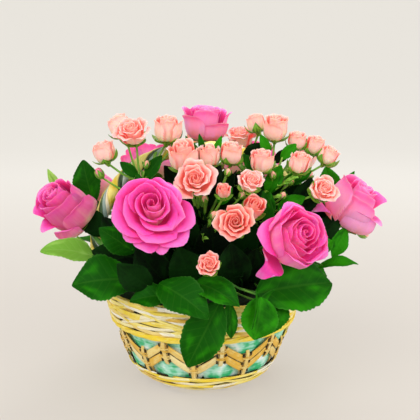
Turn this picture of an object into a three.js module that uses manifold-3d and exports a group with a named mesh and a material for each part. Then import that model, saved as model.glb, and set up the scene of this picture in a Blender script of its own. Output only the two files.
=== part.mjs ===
import * as THREE from "three";
import { mergeVertices } from "three/addons/utils/BufferGeometryUtils.js";
import Module from "manifold-3d";

const wasm = await Module();
wasm.setup();

// A round splint basket of roses and spray roses, in millimetres.
// +Z is up, -Y is the front, and the origin is the middle of the basket's base.

// Basket wall: outer radius at a few heights, from the foot to the rim
const wallProfile = [
  [0, 43],
  [3, 52],
  [10, 63],
  [20, 70],
  [42, 78],
  [62, 85.5],
  [91, 93.5],
];
const rimHeight = 91;
const floorThickness = 3;
const stakeCount = 20;
const stakeWidth = 5;
const firstStake = THREE.MathUtils.degToRad(12); // measured from the front, towards +X
const foot = { top: 20, rows: 3, wall: 4, relief: 1.3 };
const band = { low: 57, high: 62.4, inner: -1.6, outer: 1.7 };
const border = { low: 62.8, rows: 3, wall: 1.8, relief: 1.5 };
const stake = { inner: -4, outer: -2.4, low: 18, high: 88 };
const zigzag = { middle: 40, swing: 8.4, spacing: 10, halfHeight: 3.2, inner: -1.7, outer: 0 };
const liner = { low: 20.5, high: 61.5, inner: -7.2, outer: -6.2 };
const foam = { low: 3.4, high: 90, crown: 97, inset: 8.4, holeGap: 0.5 };

// Arched handle: a flat hoop let into the wall at both sides, bound in a twisted wrapping. The dip is
// how far its top is pressed down from a round arch.
const hoop = {
  radius: 100, dip: 5.5, height: 121, width: 8, thickness: 2.6, legLow: 63.5, legHigh: 93, inset: 4,
};
const wrap = { stations: 30, sides: 6, outer: 6.2, inner: 5.1, relief: 0.9, turns: 15 };

// Foliage
const roseStemRadius = 2.2;
const sprayStemRadius = 1.6;
const twigRadius = 1;
const petioleRadius = 0.9;
const bladeThickness = 1.3;
const leafFold = 0.28;
const stemSteps = 5;
const stemFoot = 56; // how deep the cut stems stand in the foam
const stemTop = 100; // where they come clear of it

const colours = {
  wheat: 0xdcc078,
  yellow: 0xe9cf4e,
  golden: 0xd9a83c,
  ribbon: 0x5cc0a0,
  foam: 0x33583a,
  hotPink: 0xe04a9c,
  salmon: 0xf2a293,
  leaf: 0x2f7f1c,
  sprig: 0x5d9a2c,
};

// Blooms are rings of petals, outermost first. Each ring has its belly and lip, and the floor of the
// hollow inside it, as [radius, height] in shares of the bloom's half width and height. The notch is
// how far its lip dips between two petals, and the cut is the lip's line over one petal.
const roundCut = [-1, 0.7, 1];
const pointedCut = [-1, 1];
const blooms = {
  open: {
    tall: 0.6,
    petals: 5,
    cut: roundCut,
    rings: [
      { belly: [0.7, 0.1], lip: [1.02, 0.6], floor: [0.56, 0.16], notch: 0.5 },
      { belly: [0.58, 0.34], lip: [0.84, 0.8], floor: [0.4, 0.3], notch: 0.34 },
      { belly: [0.41, 0.52], lip: [0.56, 0.97], floor: [0.24, 0.5], notch: 0.26 },
      { belly: [0.23, 0.7], lip: [0.27, 1], floor: [0, 0.7], notch: 0.1 },
    ],
  },
  cup: {
    tall: 0.86,
    petals: 5,
    cut: pointedCut,
    rings: [
      { belly: [0.72, 0.2], lip: [1, 0.86], floor: [0.52, 0.4], notch: 0.42 },
      { belly: [0.56, 0.6], lip: [0.62, 0.97], floor: [0.3, 0.6], notch: 0.2 },
      { belly: [0.28, 0.76], lip: [0.3, 1], floor: [0, 0.74], notch: 0.1 },
    ],
  },
  spray: {
    tall: 0.6,
    petals: 4,
    cut: pointedCut,
    rings: [
      { belly: [0.7, 0.14], lip: [1.02, 0.66], floor: [0.52, 0.3], notch: 0.4 },
      { belly: [0.54, 0.5], lip: [0.72, 0.92], floor: [0.34, 0.5], notch: 0.24 },
      { belly: [0.32, 0.66], lip: [0.34, 1], floor: [0, 0.68], notch: 0.12 },
    ],
  },
  bud: {
    tall: 0.95,
    petals: 4,
    cut: pointedCut,
    rings: [
      { belly: [0.78, 0.26], lip: [0.98, 0.88], floor: [0.56, 0.56], notch: 0.34 },
      { belly: [0.5, 0.7], lip: [0.4, 1], floor: [0, 0.78], notch: 0.12 },
    ],
  },
};
const petalWall = 1.1;

// Large roses: middle of the bloom, the way it faces, its width, and where its stem leaves the foam
const roses = {
  front_left: { at: [-39, -93, 175], facing: [-0.03, -0.82, 0.57], width: 68, kind: "open", root: [-30, -34] },
  front_right: { at: [77, -86, 152], facing: [0.45, -0.82, 0.39], width: 66, kind: "open", root: [40, -36] },
  left: {
    at: [-127, -20, 166], facing: [-0.52, -0.5, 0.68], width: 50, kind: "cup",
    root: [-42, -24], via: [-84, -34, 128],
  },
  right: {
    at: [140, -10, 166], facing: [0.5, -0.25, 0.8], width: 48, kind: "cup",
    root: [52, -22], via: [92, -26, 126],
  },
  top: { at: [2, 30, 240], facing: [0.04, -0.08, 1], width: 44, kind: "cup", root: [2, 20] },
  back_left: { at: [-57, 48, 193], facing: [-0.35, 0.5, 0.79], width: 50, kind: "cup", root: [-26, 24] },
  back_right: { at: [50, 63, 192], facing: [0.3, 0.55, 0.78], width: 52, kind: "cup", root: [26, 30] },
  back_low: { at: [-6, 104, 166], facing: [-0.05, 0.8, 0.6], width: 62, kind: "cup", root: [-12, 52] },
  back_side: {
    at: [-108, 48, 170], facing: [-0.7, 0.3, 0.65], width: 42, kind: "cup",
    root: [-50, 22], via: [-87, 34, 136],
  },
};

// Sprays: where the stem leaves the foam, where it forks, and the blooms on its twigs
const sprays = {
  left: {
    root: [-38, -4],
    fork: [-56, -22, 188],
    leaves: [
      { from: [-46, -20, 150], to: [-58, -24, 196], width: 24, face: [-0.2, -0.95, 0.2], arch: 0.08 },
    ],
    blooms: {
      left_back: { at: [-76, 4, 237], facing: [-0.4, 0.2, 0.9], width: 22, kind: "bud" },
      left_tall: { at: [-62, -25, 232], facing: [-0.2, -0.6, 0.75], width: 32, kind: "spray" },
      left_side: { at: [-88, -25, 216], facing: [-0.3, -0.1, 0.95], width: 20, kind: "bud" },
      left_high: { at: [-32, -18, 236], facing: [0.05, -0.2, 0.98], width: 25, kind: "bud" },
    },
  },
  middle: {
    root: [-2, -30],
    fork: [0, -40, 150],
    leaves: [
      { from: [-10, -46, 128], to: [-22, -50, 176], width: 28, face: [-0.2, -0.9, 0.3], arch: 0.08 },
      { from: [10, -48, 118], to: [8, -58, 160], width: 32, face: [0, -0.9, 0.4], arch: 0.08 },
    ],
    blooms: {
      middle_left: { at: [-17, -43, 215], facing: [-0.1, -0.45, 0.88], width: 27, kind: "bud" },
      middle: { at: [6, -36, 214], facing: [0, -0.3, 0.95], width: 20, kind: "bud" },
      middle_right: { at: [26, -32, 216], facing: [0.1, -0.3, 0.95], width: 20, kind: "bud" },
      front_open: { at: [-6, -62, 195], facing: [0, -0.9, 0.43], width: 38, kind: "spray" },
      front_small: { at: [18, -74, 188], facing: [0.05, -0.6, 0.8], width: 12, kind: "bud" },
      front_round: { at: [27, -99, 166], facing: [-0.06, -0.94, 0.33], width: 34, kind: "spray" },
      front_behind: { at: [43, -72, 174], facing: [0.25, -0.7, 0.65], width: 19, kind: "bud" },
      front_low: { at: [6, -112, 134], facing: [0, -0.8, 0.6], width: 21, kind: "spray" },
    },
  },
  right: {
    root: [38, -6],
    fork: [60, -26, 184],
    leaves: [
      { from: [66, -26, 150], to: [60, -24, 196], width: 26, face: [0, -0.95, 0.2], arch: 0.08 },
      { from: [82, -34, 156], to: [96, -34, 194], width: 24, face: [0.2, -0.95, 0.2], arch: 0.08 },
    ],
    blooms: {
      right_front: { at: [41, -62, 193], facing: [0.25, -0.65, 0.7], width: 26, kind: "spray" },
      right_banded: { at: [52, -35, 209], facing: [0.05, -0.25, 0.97], width: 21, kind: "bud" },
      right_high: { at: [66, -5, 236], facing: [0, -0.3, 0.95], width: 24, kind: "bud" },
      right_tall: { at: [87, 0, 224], facing: [0.1, -0.15, 0.98], width: 17, kind: "bud" },
      right_upper: { at: [103, -5, 220], facing: [0.2, -0.15, 0.96], width: 18, kind: "bud" },
      right_edge: { at: [115, -12, 211], facing: [0.5, -0.2, 0.84], width: 18, kind: "bud" },
      right_inner: { at: [85, -40, 208], facing: [0.2, -0.3, 0.93], width: 19, kind: "bud" },
      right_open: { at: [102, -56, 186], facing: [0.35, -0.78, 0.52], width: 28, kind: "spray" },
    },
  },
  high: {
    root: [22, 14],
    fork: [38, 22, 192],
    leaves: [{ from: [36, 26, 150], to: [54, 30, 190], width: 24, face: [0.2, 0.6, 0.7], arch: 0.08 }],
    blooms: {
      high_flat: { at: [35, 26, 223], facing: [-0.05, -0.3, 0.95], width: 33, kind: "spray" },
      high_pale: { at: [50, 16, 239], facing: [-0.2, 0, 0.97], width: 18, kind: "bud" },
      back_side: { at: [92, 50, 186], facing: [0.7, 0.45, 0.55], width: 30, kind: "spray" },
      back_edge: { at: [98, 24, 206], facing: [0.6, 0.3, 0.75], width: 22, kind: "bud" },
    },
  },
  back: {
    root: [10, 38],
    fork: [10, 56, 160],
    leaves: [
      { from: [22, 60, 134], to: [34, 78, 184], width: 30, face: [0.2, 0.9, 0.3], arch: 0.08 },
    ],
    blooms: {
      back_left: { at: [-50, 92, 168], facing: [-0.4, 0.8, 0.45], width: 30, kind: "spray" },
      back_high: { at: [-4, 72, 214], facing: [-0.05, 0.6, 0.8], width: 32, kind: "spray" },
      back_right: { at: [48, 98, 170], facing: [0.35, 0.82, 0.45], width: 34, kind: "spray" },
    },
  },
};

// Leaves of each stem: base of the blade, tip, width, the way its upper face looks, and its arch
const leaves = {
  front_left: [
    { from: [-58, -70, 110], to: [-110, -80, 108], width: 42, face: [-0.1, -0.75, 0.65], arch: 0.1 },
    { from: [-57, -66, 134], to: [-87, -72, 156], width: 22, face: [-0.3, -0.8, 0.4], arch: 0.1 },
    { from: [-43, -84, 108], to: [-69, -100, 132], width: 24, face: [-0.3, -0.8, 0.3], arch: 0.05 },
    { from: [-24, -86, 101], to: [-60, -93, 98], width: 24, face: [0, -0.6, 0.8], arch: 0.08 },
    { from: [-32, -64, 106], to: [-55, -80, 142], width: 30, face: [-0.2, -0.9, 0.4], arch: 0.1 },
  ],
  front_right: [
    { from: [44, -84, 102], to: [112, -64, 106], width: 46, face: [0.1, -0.85, 0.5], arch: 0.1 },
    { from: [86, -52, 121], to: [117, -34, 136], width: 20, face: [0.2, -0.5, 0.8], arch: 0.1 },
    { from: [59, -56, 150], to: [52, -58, 186], width: 11, face: [0, -1, 0.1], arch: 0.06 },
    { from: [42, -58, 104], to: [46, -70, 138], width: 26, face: [0.1, -0.9, 0.4], arch: 0.08 },
    { from: [38, -46, 122], to: [34, -50, 168], width: 28, face: [-0.1, -0.9, 0.3], arch: 0.08 },
    { from: [66, -52, 106], to: [88, -76, 96], width: 26, face: [0.3, -0.5, 0.8], arch: 0.12 },
  ],
  left: [
    { from: [-72, -18, 106], to: [-110, -30, 100], width: 28, face: [-0.4, 0, 0.9], arch: 0.14 },
    { from: [-93, -40, 121], to: [-142, -52, 131], width: 24, face: [0.1, -0.6, 0.8], arch: 0.12 },
    { from: [-96, -28, 114], to: [-112, -34, 141], width: 16, face: [-0.5, -0.8, 0.2], arch: 0.08 },
    { from: [-134, 17, 171], to: [-147, 15, 195], width: 9, face: [-0.2, -0.9, 0.2], arch: 0.05 },
  ],
  right: [
    { from: [80, -16, 108], to: [114, -24, 100], width: 26, face: [0.4, 0, 0.9], arch: 0.14 },
    { from: [103, -40, 113], to: [141, -32, 114], width: 14, face: [0, -0.4, 0.9], arch: 0.1 },
    { from: [129, -24, 146], to: [117, -30, 120], width: 16, face: [0.2, -0.9, 0.2], arch: 0.06 },
    { from: [122, 20, 160], to: [117, 20, 197], width: 24, face: [0.1, -0.9, 0.2], arch: 0.06 },
    { from: [131, 24, 170], to: [145, 22, 192], width: 8, face: [0, -0.9, 0.3], arch: 0.05 },
  ],
  top: [
    { from: [-8, 6, 160], to: [-36, 0, 200], width: 24, face: [0, -0.9, 0.3], arch: 0.1 },
    { from: [12, 4, 150], to: [20, -4, 196], width: 26, face: [0, -0.9, 0.3], arch: 0.08 },
    { from: [-2, 4, 112], to: [-8, -8, 162], width: 32, face: [0, -0.9, 0.3], arch: 0.08 },
  ],
  back_left: [
    { from: [-40, 36, 116], to: [-76, 42, 152], width: 32, face: [-0.5, 0.6, 0.6], arch: 0.08 },
    { from: [-58, 66, 112], to: [-98, 92, 104], width: 30, face: [-0.3, 0.4, 0.85], arch: 0.12 },
    { from: [-40, 78, 128], to: [-66, 108, 138], width: 22, face: [-0.2, 0.5, 0.8], arch: 0.1 },
    { from: [-70, 60, 132], to: [-106, 84, 136], width: 24, face: [-0.2, 0.3, 0.9], arch: 0.12 },
  ],
  back_right: [
    { from: [44, 46, 112], to: [82, 62, 126], width: 34, face: [0.3, 0.5, 0.8], arch: 0.1 },
    { from: [36, 40, 128], to: [66, 40, 164], width: 30, face: [0.6, 0.6, 0.5], arch: 0.08 },
    { from: [60, 66, 112], to: [96, 96, 104], width: 30, face: [0.3, 0.4, 0.85], arch: 0.12 },
    { from: [84, 40, 116], to: [130, 52, 112], width: 28, face: [0.2, 0.1, 0.95], arch: 0.12 },
    { from: [66, 52, 140], to: [104, 74, 152], width: 22, face: [0.2, 0.3, 0.9], arch: 0.1 },
  ],
  back_low: [
    { from: [-24, 64, 104], to: [-59, 70, 103], width: 30, face: [-0.1, 0.5, 0.9], arch: 0.08 },
    { from: [6, 64, 108], to: [38, 92, 122], width: 32, face: [0.2, 0.6, 0.8], arch: 0.1 },
    { from: [-10, 90, 104], to: [-22, 120, 72], width: 28, face: [-0.1, 0.85, 0.5], arch: 0.12 },
    { from: [22, 88, 106], to: [40, 122, 88], width: 26, face: [0.2, 0.8, 0.6], arch: 0.14 },
    { from: [-36, 84, 104], to: [-60, 112, 84], width: 24, face: [-0.3, 0.75, 0.6], arch: 0.12 },
    { from: [-20, 54, 124], to: [-34, 54, 170], width: 28, face: [-0.2, 0.9, 0.3], arch: 0.06 },
  ],
  back_side: [
    { from: [-64, 26, 106], to: [-98, 54, 98], width: 34, face: [-0.4, 0.4, 0.8], arch: 0.12 },
    { from: [-104, 16, 162], to: [-114, 20, 203], width: 27, face: [-0.2, -0.9, 0.2], arch: 0.06 },
    { from: [-98, 20, 136], to: [-109, 20, 162], width: 18, face: [-0.3, -0.9, 0.3], arch: 0.06 },
    { from: [-90, 26, 114], to: [-132, 30, 120], width: 24, face: [-0.1, 0, 1], arch: 0.12 },
  ],
};

// The leafy stem that falls over the front of the rim
const frontFoliage = {
  root: [10, -52],
  tip: [14, -72, 116],
  direction: [0, -0.6, 0.6],
  leaves: [
    { from: [-8, -66, 104], to: [-20, -78, 142], width: 30, face: [-0.1, -0.9, 0.4], arch: 0.08 },
    { from: [28, -66, 104], to: [24, -76, 144], width: 30, face: [0.05, -0.9, 0.4], arch: 0.08 },
    { from: [-36, -88, 112], to: [6, -121, 93], width: 32, face: [-0.1, -0.7, 0.7], arch: 0.12 },
    { from: [-8, -88, 112], to: [30, -120, 102], width: 26, face: [0.1, -0.65, 0.75], arch: 0.12 },
    { from: [15, -104, 102], to: [-12, -113, 49], width: 34, face: [-0.1, -0.98, 0.1], arch: 0.06 },
    { from: [22, -103, 101], to: [24, -107, 71], width: 12, face: [0.1, -0.98, 0.1], arch: 0.04 },
    { from: [49, -95, 103], to: [43, -105, 69], width: 32, face: [0.2, -0.95, 0.2], arch: 0.06 },
    { from: [44, -100, 111], to: [40, -110, 79], width: 6, face: [0.9, -0.4, 0], arch: 0.06 },
  ],
};

function vector(values) {
  return new THREE.Vector3(values[0], values[1], values[2]);
}

// A repeatable stream of numbers from 0 to 1
function seededStream(seed) {
  let state = seed;
  return () => {
    state = (state * 16807) % 2147483647;
    return state / 2147483647;
  };
}

function seedOf(name) {
  let seed = 7;
  for (const letter of name) seed = (seed * 31 + letter.charCodeAt(0)) % 2147483647;
  return seed;
}

function wallRadius(height) {
  for (let i = 1; i < wallProfile.length; i++) {
    const [low, lowRadius] = wallProfile[i - 1];
    const [high, highRadius] = wallProfile[i];
    if (height <= high || i === wallProfile.length - 1) {
      return lowRadius + ((highRadius - lowRadius) * (height - low)) / (high - low);
    }
  }
}

// Solids

function geometryOf(points, triangles) {
  const geometry = new THREE.BufferGeometry();
  geometry.setAttribute("position", new THREE.Float32BufferAttribute(points.flat(), 3));
  geometry.setIndex(triangles.flat());
  return geometry;
}

function solidOf(geometry) {
  geometry.deleteAttribute("normal");
  geometry.deleteAttribute("uv");
  const merged = mergeVertices(geometry, 1e-4);
  const vertProperties = new Float32Array(merged.attributes.position.array);
  const triVerts = new Uint32Array(merged.index.array);
  return new wasm.Manifold(new wasm.Mesh({ numProp: 3, vertProperties, triVerts }));
}

function joined(solids) {
  const whole = wasm.Manifold.union(solids).simplify(0.02);
  const bodies = whole.decompose();
  return bodies.reduce((largest, body) => (body.volume() > largest.volume() ? body : largest));
}

const group = new THREE.Group();

function addPiece(name, solid, colour, roughness) {
  const { vertProperties, triVerts } = solid.getMesh();
  const geometry = new THREE.BufferGeometry();
  geometry.setAttribute("position", new THREE.BufferAttribute(vertProperties, 3));
  geometry.setIndex(new THREE.BufferAttribute(triVerts, 1));
  geometry.computeVertexNormals();
  const mesh = new THREE.Mesh(geometry, new THREE.MeshStandardMaterial({ color: colour, roughness }));
  mesh.name = name;
  group.add(mesh);
}

// A closed ring round the basket's axis whose section may change with the angle
function ringSolid(segments, sectionAt) {
  const points = [];
  const triangles = [];
  const corners = sectionAt(0).length;
  for (let i = 0; i < segments; i++) {
    const angle = firstStake + (i / segments) * Math.PI * 2;
    for (const [radius, height] of sectionAt(angle)) {
      points.push([radius * Math.sin(angle), -radius * Math.cos(angle), height]);
    }
    const here = i * corners;
    const next = ((i + 1) % segments) * corners;
    for (let j = 0; j < corners; j++) {
      const k = (j + 1) % corners;
      triangles.push([here + j, next + j, next + k], [here + j, next + k, here + k]);
    }
  }
  return solidOf(geometryOf(points, triangles));
}

function stemCurve(points) {
  return new THREE.CatmullRomCurve3(points, false, "centripetal");
}

// A tube with few sides along a smooth path
function tubeSolid(points, radius, sides, steps) {
  const section = new THREE.Shape();
  for (let i = 0; i < sides; i++) {
    const angle = (i / sides) * Math.PI * 2;
    const corner = [radius * Math.cos(angle), radius * Math.sin(angle)];
    if (i === 0) section.moveTo(...corner);
    else section.lineTo(...corner);
  }
  section.closePath();
  const extrudePath = stemCurve(points);
  return solidOf(new THREE.ExtrudeGeometry(section, { steps, extrudePath, bevelEnabled: false }));
}

function leafAxes({ from, to, face }) {
  const spine = vector(to).sub(vector(from));
  const side = vector(face).cross(spine).normalize();
  return { spine, side, upper: spine.clone().cross(side).normalize() };
}

// The midrib of a leaf, arched from its base to its tip
function leafRib(leaf) {
  const { spine, upper } = leafAxes(leaf);
  const rise = leaf.arch * spine.length() * 4;
  return (s) => vector(leaf.from).addScaledVector(spine, s).addScaledVector(upper, rise * s * (1 - s));
}

// A leaf blade: thickest along its midrib, with toothed edges lifted into a shallow fold
function leafSolid(leaf) {
  const { side, upper } = leafAxes(leaf);
  const rib = leafRib(leaf);
  const stations = leaf.width > 28 ? 8 : leaf.width > 12 ? 6 : 4;
  const points = [rib(0).toArray(), rib(1).toArray()];
  for (let i = 1; i < stations; i++) {
    const s = i / stations;
    const tooth = i % 2 === 0 ? 0.86 : 1;
    const half = (leaf.width / 2) * Math.sin(Math.PI * s ** 0.85) ** 0.8 * tooth;
    const edge = (sign) =>
      rib(s + 0.25 / stations).addScaledVector(side, sign * half).addScaledVector(upper, leafFold * half);
    points.push(rib(s).addScaledVector(upper, bladeThickness / 2).toArray());
    points.push(rib(s).addScaledVector(upper, -bladeThickness / 2).toArray());
    points.push(edge(1).toArray(), edge(-1).toArray());
  }
  const triangles = [];
  const index = (i, k) => (i === 0 ? 0 : i === stations ? 1 : 2 + (i - 1) * 4 + k);
  for (let i = 0; i < stations; i++) {
    for (const [surface, turn] of [[0, 1], [1, -1]]) {
      for (const edge of [2, 3]) {
        const flip = (edge === 2 ? -1 : 1) * turn;
        const [a, b] = [index(i, surface), index(i, edge)];
        const [d, c] = [index(i + 1, surface), index(i + 1, edge)];
        for (const triangle of [[a, b, c], [a, c, d]]) {
          if (new Set(triangle).size === 3) triangles.push(flip > 0 ? triangle : triangle.reverse());
        }
      }
    }
  }
  return solidOf(geometryOf(points, triangles));
}

// Blooms

function bloomFrame({ at, facing, width, kind }) {
  const height = width * blooms[kind].tall;
  const axis = vector(facing).normalize();
  const base = vector(at).addScaledVector(axis, -height / 2);
  const turn = new THREE.Quaternion().setFromUnitVectors(new THREE.Vector3(0, 0, 1), axis);
  const matrix = new THREE.Matrix4().compose(base, turn, new THREE.Vector3(1, 1, 1));
  return { height, axis, base, matrix };
}

// Nested rings of petals, as one folded surface from the underside out over each lip to the heart
function bloomSolid(name, bloom) {
  const { rings, petals, cut } = blooms[bloom.kind];
  const { height, matrix } = bloomFrame(bloom);
  const halfWidth = bloom.width / 2;
  const wall = petalWall / halfWidth;
  const random = seededStream(seedOf(name));
  const columns = petals * cut.length;
  const start = random() * Math.PI * 2;
  const rows = [];
  rings.forEach(({ belly, lip, floor, notch }, ring) => {
    const flare = Array.from({ length: petals }, () => 1 + 0.08 * (random() - 0.5));
    const bend = (share, dip) => (column) => {
      const place = column + ring;
      const petal = Math.floor(place / cut.length) % petals;
      return { wave: share * cut[place % cut.length], dip, flare: flare[petal] };
    };
    rows.push({ place: belly, shape: bend(0.03, 0) });
    rows.push({ place: lip, shape: bend(0.06, notch) });
    rows.push({ place: [belly[0] - wall, belly[1] + wall], shape: bend(0.03, 0) });
    if (ring < rings.length - 1) rows.push({ place: floor, shape: bend(0, 0) });
  });
  const points = [[0, 0, 0]];
  for (const { place, shape } of rows) {
    for (let column = 0; column < columns; column++) {
      const { wave, dip, flare } = shape(column);
      const angle = start + (column / columns) * Math.PI * 2;
      const radius = halfWidth * place[0] * (1 + wave) * (dip ? flare : 1);
      const rise = height * place[1] * (1 - (dip * (1 - wave / 0.06)) / 2);
      points.push([radius * Math.cos(angle), radius * Math.sin(angle), rise]);
    }
  }
  points.push([0, 0, height * rings.at(-1).floor[1]]);
  return latticeSolid(points, rows.length, columns, matrix, (row) => row % 4 === 1);
}

// A closed surface of rings of points between a first and a last pole. Each quad is split on one
// diagonal, or on the other where crossed(row) says so: both faces of a petal are split alike.
function latticeSolid(points, rows, columns, matrix, crossed = () => false) {
  const triangles = [];
  const index = (row, column) => 1 + row * columns + (column % columns);
  for (let column = 0; column < columns; column++) {
    triangles.push([0, index(0, column + 1), index(0, column)]);
    triangles.push([points.length - 1, index(rows - 1, column), index(rows - 1, column + 1)]);
    for (let row = 0; row < rows - 1; row++) {
      const [a, b] = [index(row, column), index(row, column + 1)];
      const [d, c] = [index(row + 1, column), index(row + 1, column + 1)];
      if (crossed(row)) triangles.push([a, b, d], [b, c, d]);
      else triangles.push([a, b, c], [a, c, d]);
    }
  }
  return solidOf(geometryOf(points, triangles).applyMatrix4(matrix));
}

// Green parts

// The green cup under a bloom, drawn out into five sepals
function calyxSolid(bloom) {
  const { matrix } = bloomFrame(bloom);
  const halfWidth = bloom.width / 2;
  const cup = Math.min(5, 0.18 * halfWidth + 1.2);
  const reach = cup + 0.6 * halfWidth;
  const points = [[0, 0, -cup * 1.8]];
  for (let column = 0; column < 10; column++) {
    const angle = (column / 10) * Math.PI * 2;
    const [radius, rise] = column % 2 ? [reach, -0.22 * halfWidth - 1] : [cup * 1.3, -1];
    points.push([radius * Math.cos(angle), radius * Math.sin(angle), rise]);
  }
  points.push([0, 0, -0.5]);
  return latticeSolid(points, 1, 10, matrix);
}

// The path of a stem above the foam, past a point if one is given, to meet the bloom along its axis
function stemPath([x, y], end, direction, via) {
  const top = new THREE.Vector3(x, y, stemTop - 1);
  const above = new THREE.Vector3(x, y, stemTop + 8);
  if (via) return [top, above, vector(via), end.clone().addScaledVector(direction, -8), end];
  const rise = end.distanceTo(above) * 0.4;
  const bend = new THREE.CubicBezierCurve3(
    above,
    above.clone().add(new THREE.Vector3(0, 0, rise)),
    end.clone().addScaledVector(direction, -rise),
    end,
  );
  return [top, ...bend.getPoints(3)];
}

// A short twig from a point on a stem to where a bloom or a leaf starts
function twigSolid(start, end, radius) {
  const middle = start.clone().lerp(end, 0.5);
  middle.z -= start.distanceTo(end) * 0.06;
  return tubeSolid([start, middle, end], radius, 3, 2);
}

// The place on a stem where a twig to a point leaves it, a little lower than the point where it can
function forkPlace(path, point) {
  const corners = stemCurve(path).getSpacedPoints(stemSteps);
  const cost = (place) => place.distanceTo(point) + Math.max(0, 12 - (point.z - place.z));
  let nearest = corners[1];
  for (let i = 1; i < corners.length; i++) {
    for (const share of [0, 0.25, 0.5, 0.75]) {
      const place = corners[i - 1].clone().lerp(corners[i], share);
      if (cost(place) < cost(nearest)) nearest = place;
    }
  }
  return nearest;
}

function leafSolids(path, list) {
  const solids = [];
  for (const leaf of list) {
    solids.push(leafSolid(leaf));
    solids.push(twigSolid(forkPlace(path, vector(leaf.from)), leafRib(leaf)(0.12), petioleRadius));
  }
  return solids;
}

const foamHoles = [];

// A stem with its straight foot in the foam, and the hole that the foot stands in
function stemSolid(path, radius) {
  const foot = new THREE.Vector3(path[0].x, path[0].y, stemFoot);
  const clear = new THREE.Vector3(path[0].x, path[0].y, stemTop);
  const mouth = new THREE.Vector3(path[0].x, path[0].y, foam.crown + 4);
  const bottom = new THREE.Vector3(path[0].x, path[0].y, stemFoot - 1);
  foamHoles.push(tubeSolid([bottom, mouth], radius + foam.holeGap, 4, 1));
  return joined([tubeSolid([foot, clear], radius, 4, 1), tubeSolid(path, radius, 4, stemSteps)]);
}

for (const [name, rose] of Object.entries(roses)) {
  const { axis, base } = bloomFrame(rose);
  const neck = base.clone().addScaledVector(axis, -5);
  const path = stemPath(rose.root, neck, axis, rose.via);
  const greens = [stemSolid(path, roseStemRadius), calyxSolid(rose), ...leafSolids(path, leaves[name])];
  addPiece(`rose_${name}`, bloomSolid(name, rose), colours.hotPink, 0.55);
  addPiece(`stem_rose_${name}`, joined(greens), colours.leaf, 0.45);
}

for (const [name, spray] of Object.entries(sprays)) {
  const fork = vector(spray.fork);
  const path = stemPath(spray.root, fork, new THREE.Vector3(0, 0, 1));
  const greens = [stemSolid(path, sprayStemRadius), ...leafSolids(path, spray.leaves)];
  for (const [bloomName, bloom] of Object.entries(spray.blooms)) {
    const { axis, base } = bloomFrame(bloom);
    const neck = base.clone().addScaledVector(axis, -2.5);
    greens.push(twigSolid(forkPlace(path, neck), neck, twigRadius), calyxSolid(bloom));
    addPiece(`spray_rose_${bloomName}`, bloomSolid(bloomName, bloom), colours.salmon, 0.6);
  }
  addPiece(`spray_stem_${name}`, joined(greens), colours.sprig, 0.5);
}

const frontPath = stemPath(frontFoliage.root, vector(frontFoliage.tip), vector(frontFoliage.direction));
const frontGreens = [stemSolid(frontPath, sprayStemRadius), ...leafSolids(frontPath, frontFoliage.leaves)];
addPiece("leafy_stem_front", joined(frontGreens), colours.leaf, 0.4);

// Basket

// Rows of strips that pass in front of one stake and behind the next
function wovenRows(low, high, rows, relief, angle) {
  const outline = [];
  for (let row = 0; row < rows; row++) {
    const side = Math.cos((angle - firstStake) * (stakeCount / 2) + row * Math.PI);
    const bottom = low + ((high - low) * row) / rows;
    const pitch = (high - low) / rows;
    outline.push([wallRadius(bottom) - 0.9, bottom]);
    outline.push([wallRadius(bottom + pitch * 0.5) + relief * (0.3 + 0.7 * side), bottom + pitch * 0.5]);
  }
  outline.push([wallRadius(high) - 0.6, high]);
  return outline;
}

function footSection(angle) {
  const outside = wovenRows(0, foot.top, foot.rows, foot.relief, angle);
  const inside = [foot.top, 2].map((height) => [wallRadius(height) - foot.wall, height]);
  return [...outside, ...inside];
}

function borderSection(angle) {
  const outside = wovenRows(border.low, rimHeight, border.rows, border.relief, angle);
  const inside = [rimHeight, border.low].map((height) => [wallRadius(height) - border.wall, height]);
  return [...outside, ...inside];
}

function plainSection(low, high, inner, outer) {
  return [
    [wallRadius(low) + inner, low],
    [wallRadius(low) + outer, low],
    [wallRadius(high) + outer, high],
    [wallRadius(high) + inner, high],
  ];
}

// A strip that climbs to a peak over every other stake and falls to a valley between
function zigzagSection(angle, offset) {
  const phase = ((angle - firstStake) * stakeCount) / (4 * Math.PI);
  const wave = 4 * Math.abs(phase - Math.floor(phase) - 0.5) - 1;
  const middle = zigzag.middle + offset + zigzag.swing * wave;
  return plainSection(middle - zigzag.halfHeight, middle + zigzag.halfHeight, zigzag.inner, zigzag.outer);
}

function stakeSolid(angle) {
  const outline = [
    [wallRadius(stake.low) + stake.outer, stake.low],
    [wallRadius(stake.high) + stake.outer, stake.high],
    [wallRadius(stake.high) + stake.inner, stake.high],
    [wallRadius(stake.low) + stake.inner, stake.low],
  ];
  const shape = new THREE.Shape(outline.map(([radius, height]) => new THREE.Vector2(radius, height)));
  const strip = new THREE.ExtrudeGeometry(shape, { depth: stakeWidth, bevelEnabled: false });
  strip.translate(0, 0, -stakeWidth / 2).rotateX(Math.PI / 2).rotateZ(angle - Math.PI / 2);
  return solidOf(strip);
}

const round = stakeCount * 2;
const footParts = [ringSolid(round, footSection)];
const floorRadii = [wallRadius(floorThickness) - 3, wallRadius(0) - 2];
const floorDisc = new THREE.CylinderGeometry(...floorRadii, floorThickness, round);
footParts.push(solidOf(floorDisc.rotateX(Math.PI / 2).translate(0, 0, floorThickness / 2)));
for (let i = 0; i < stakeCount; i++) {
  footParts.push(stakeSolid(firstStake + (i / stakeCount) * Math.PI * 2));
}
addPiece("basket_foot_and_stakes", joined(footParts), colours.wheat, 0.7);

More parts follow.
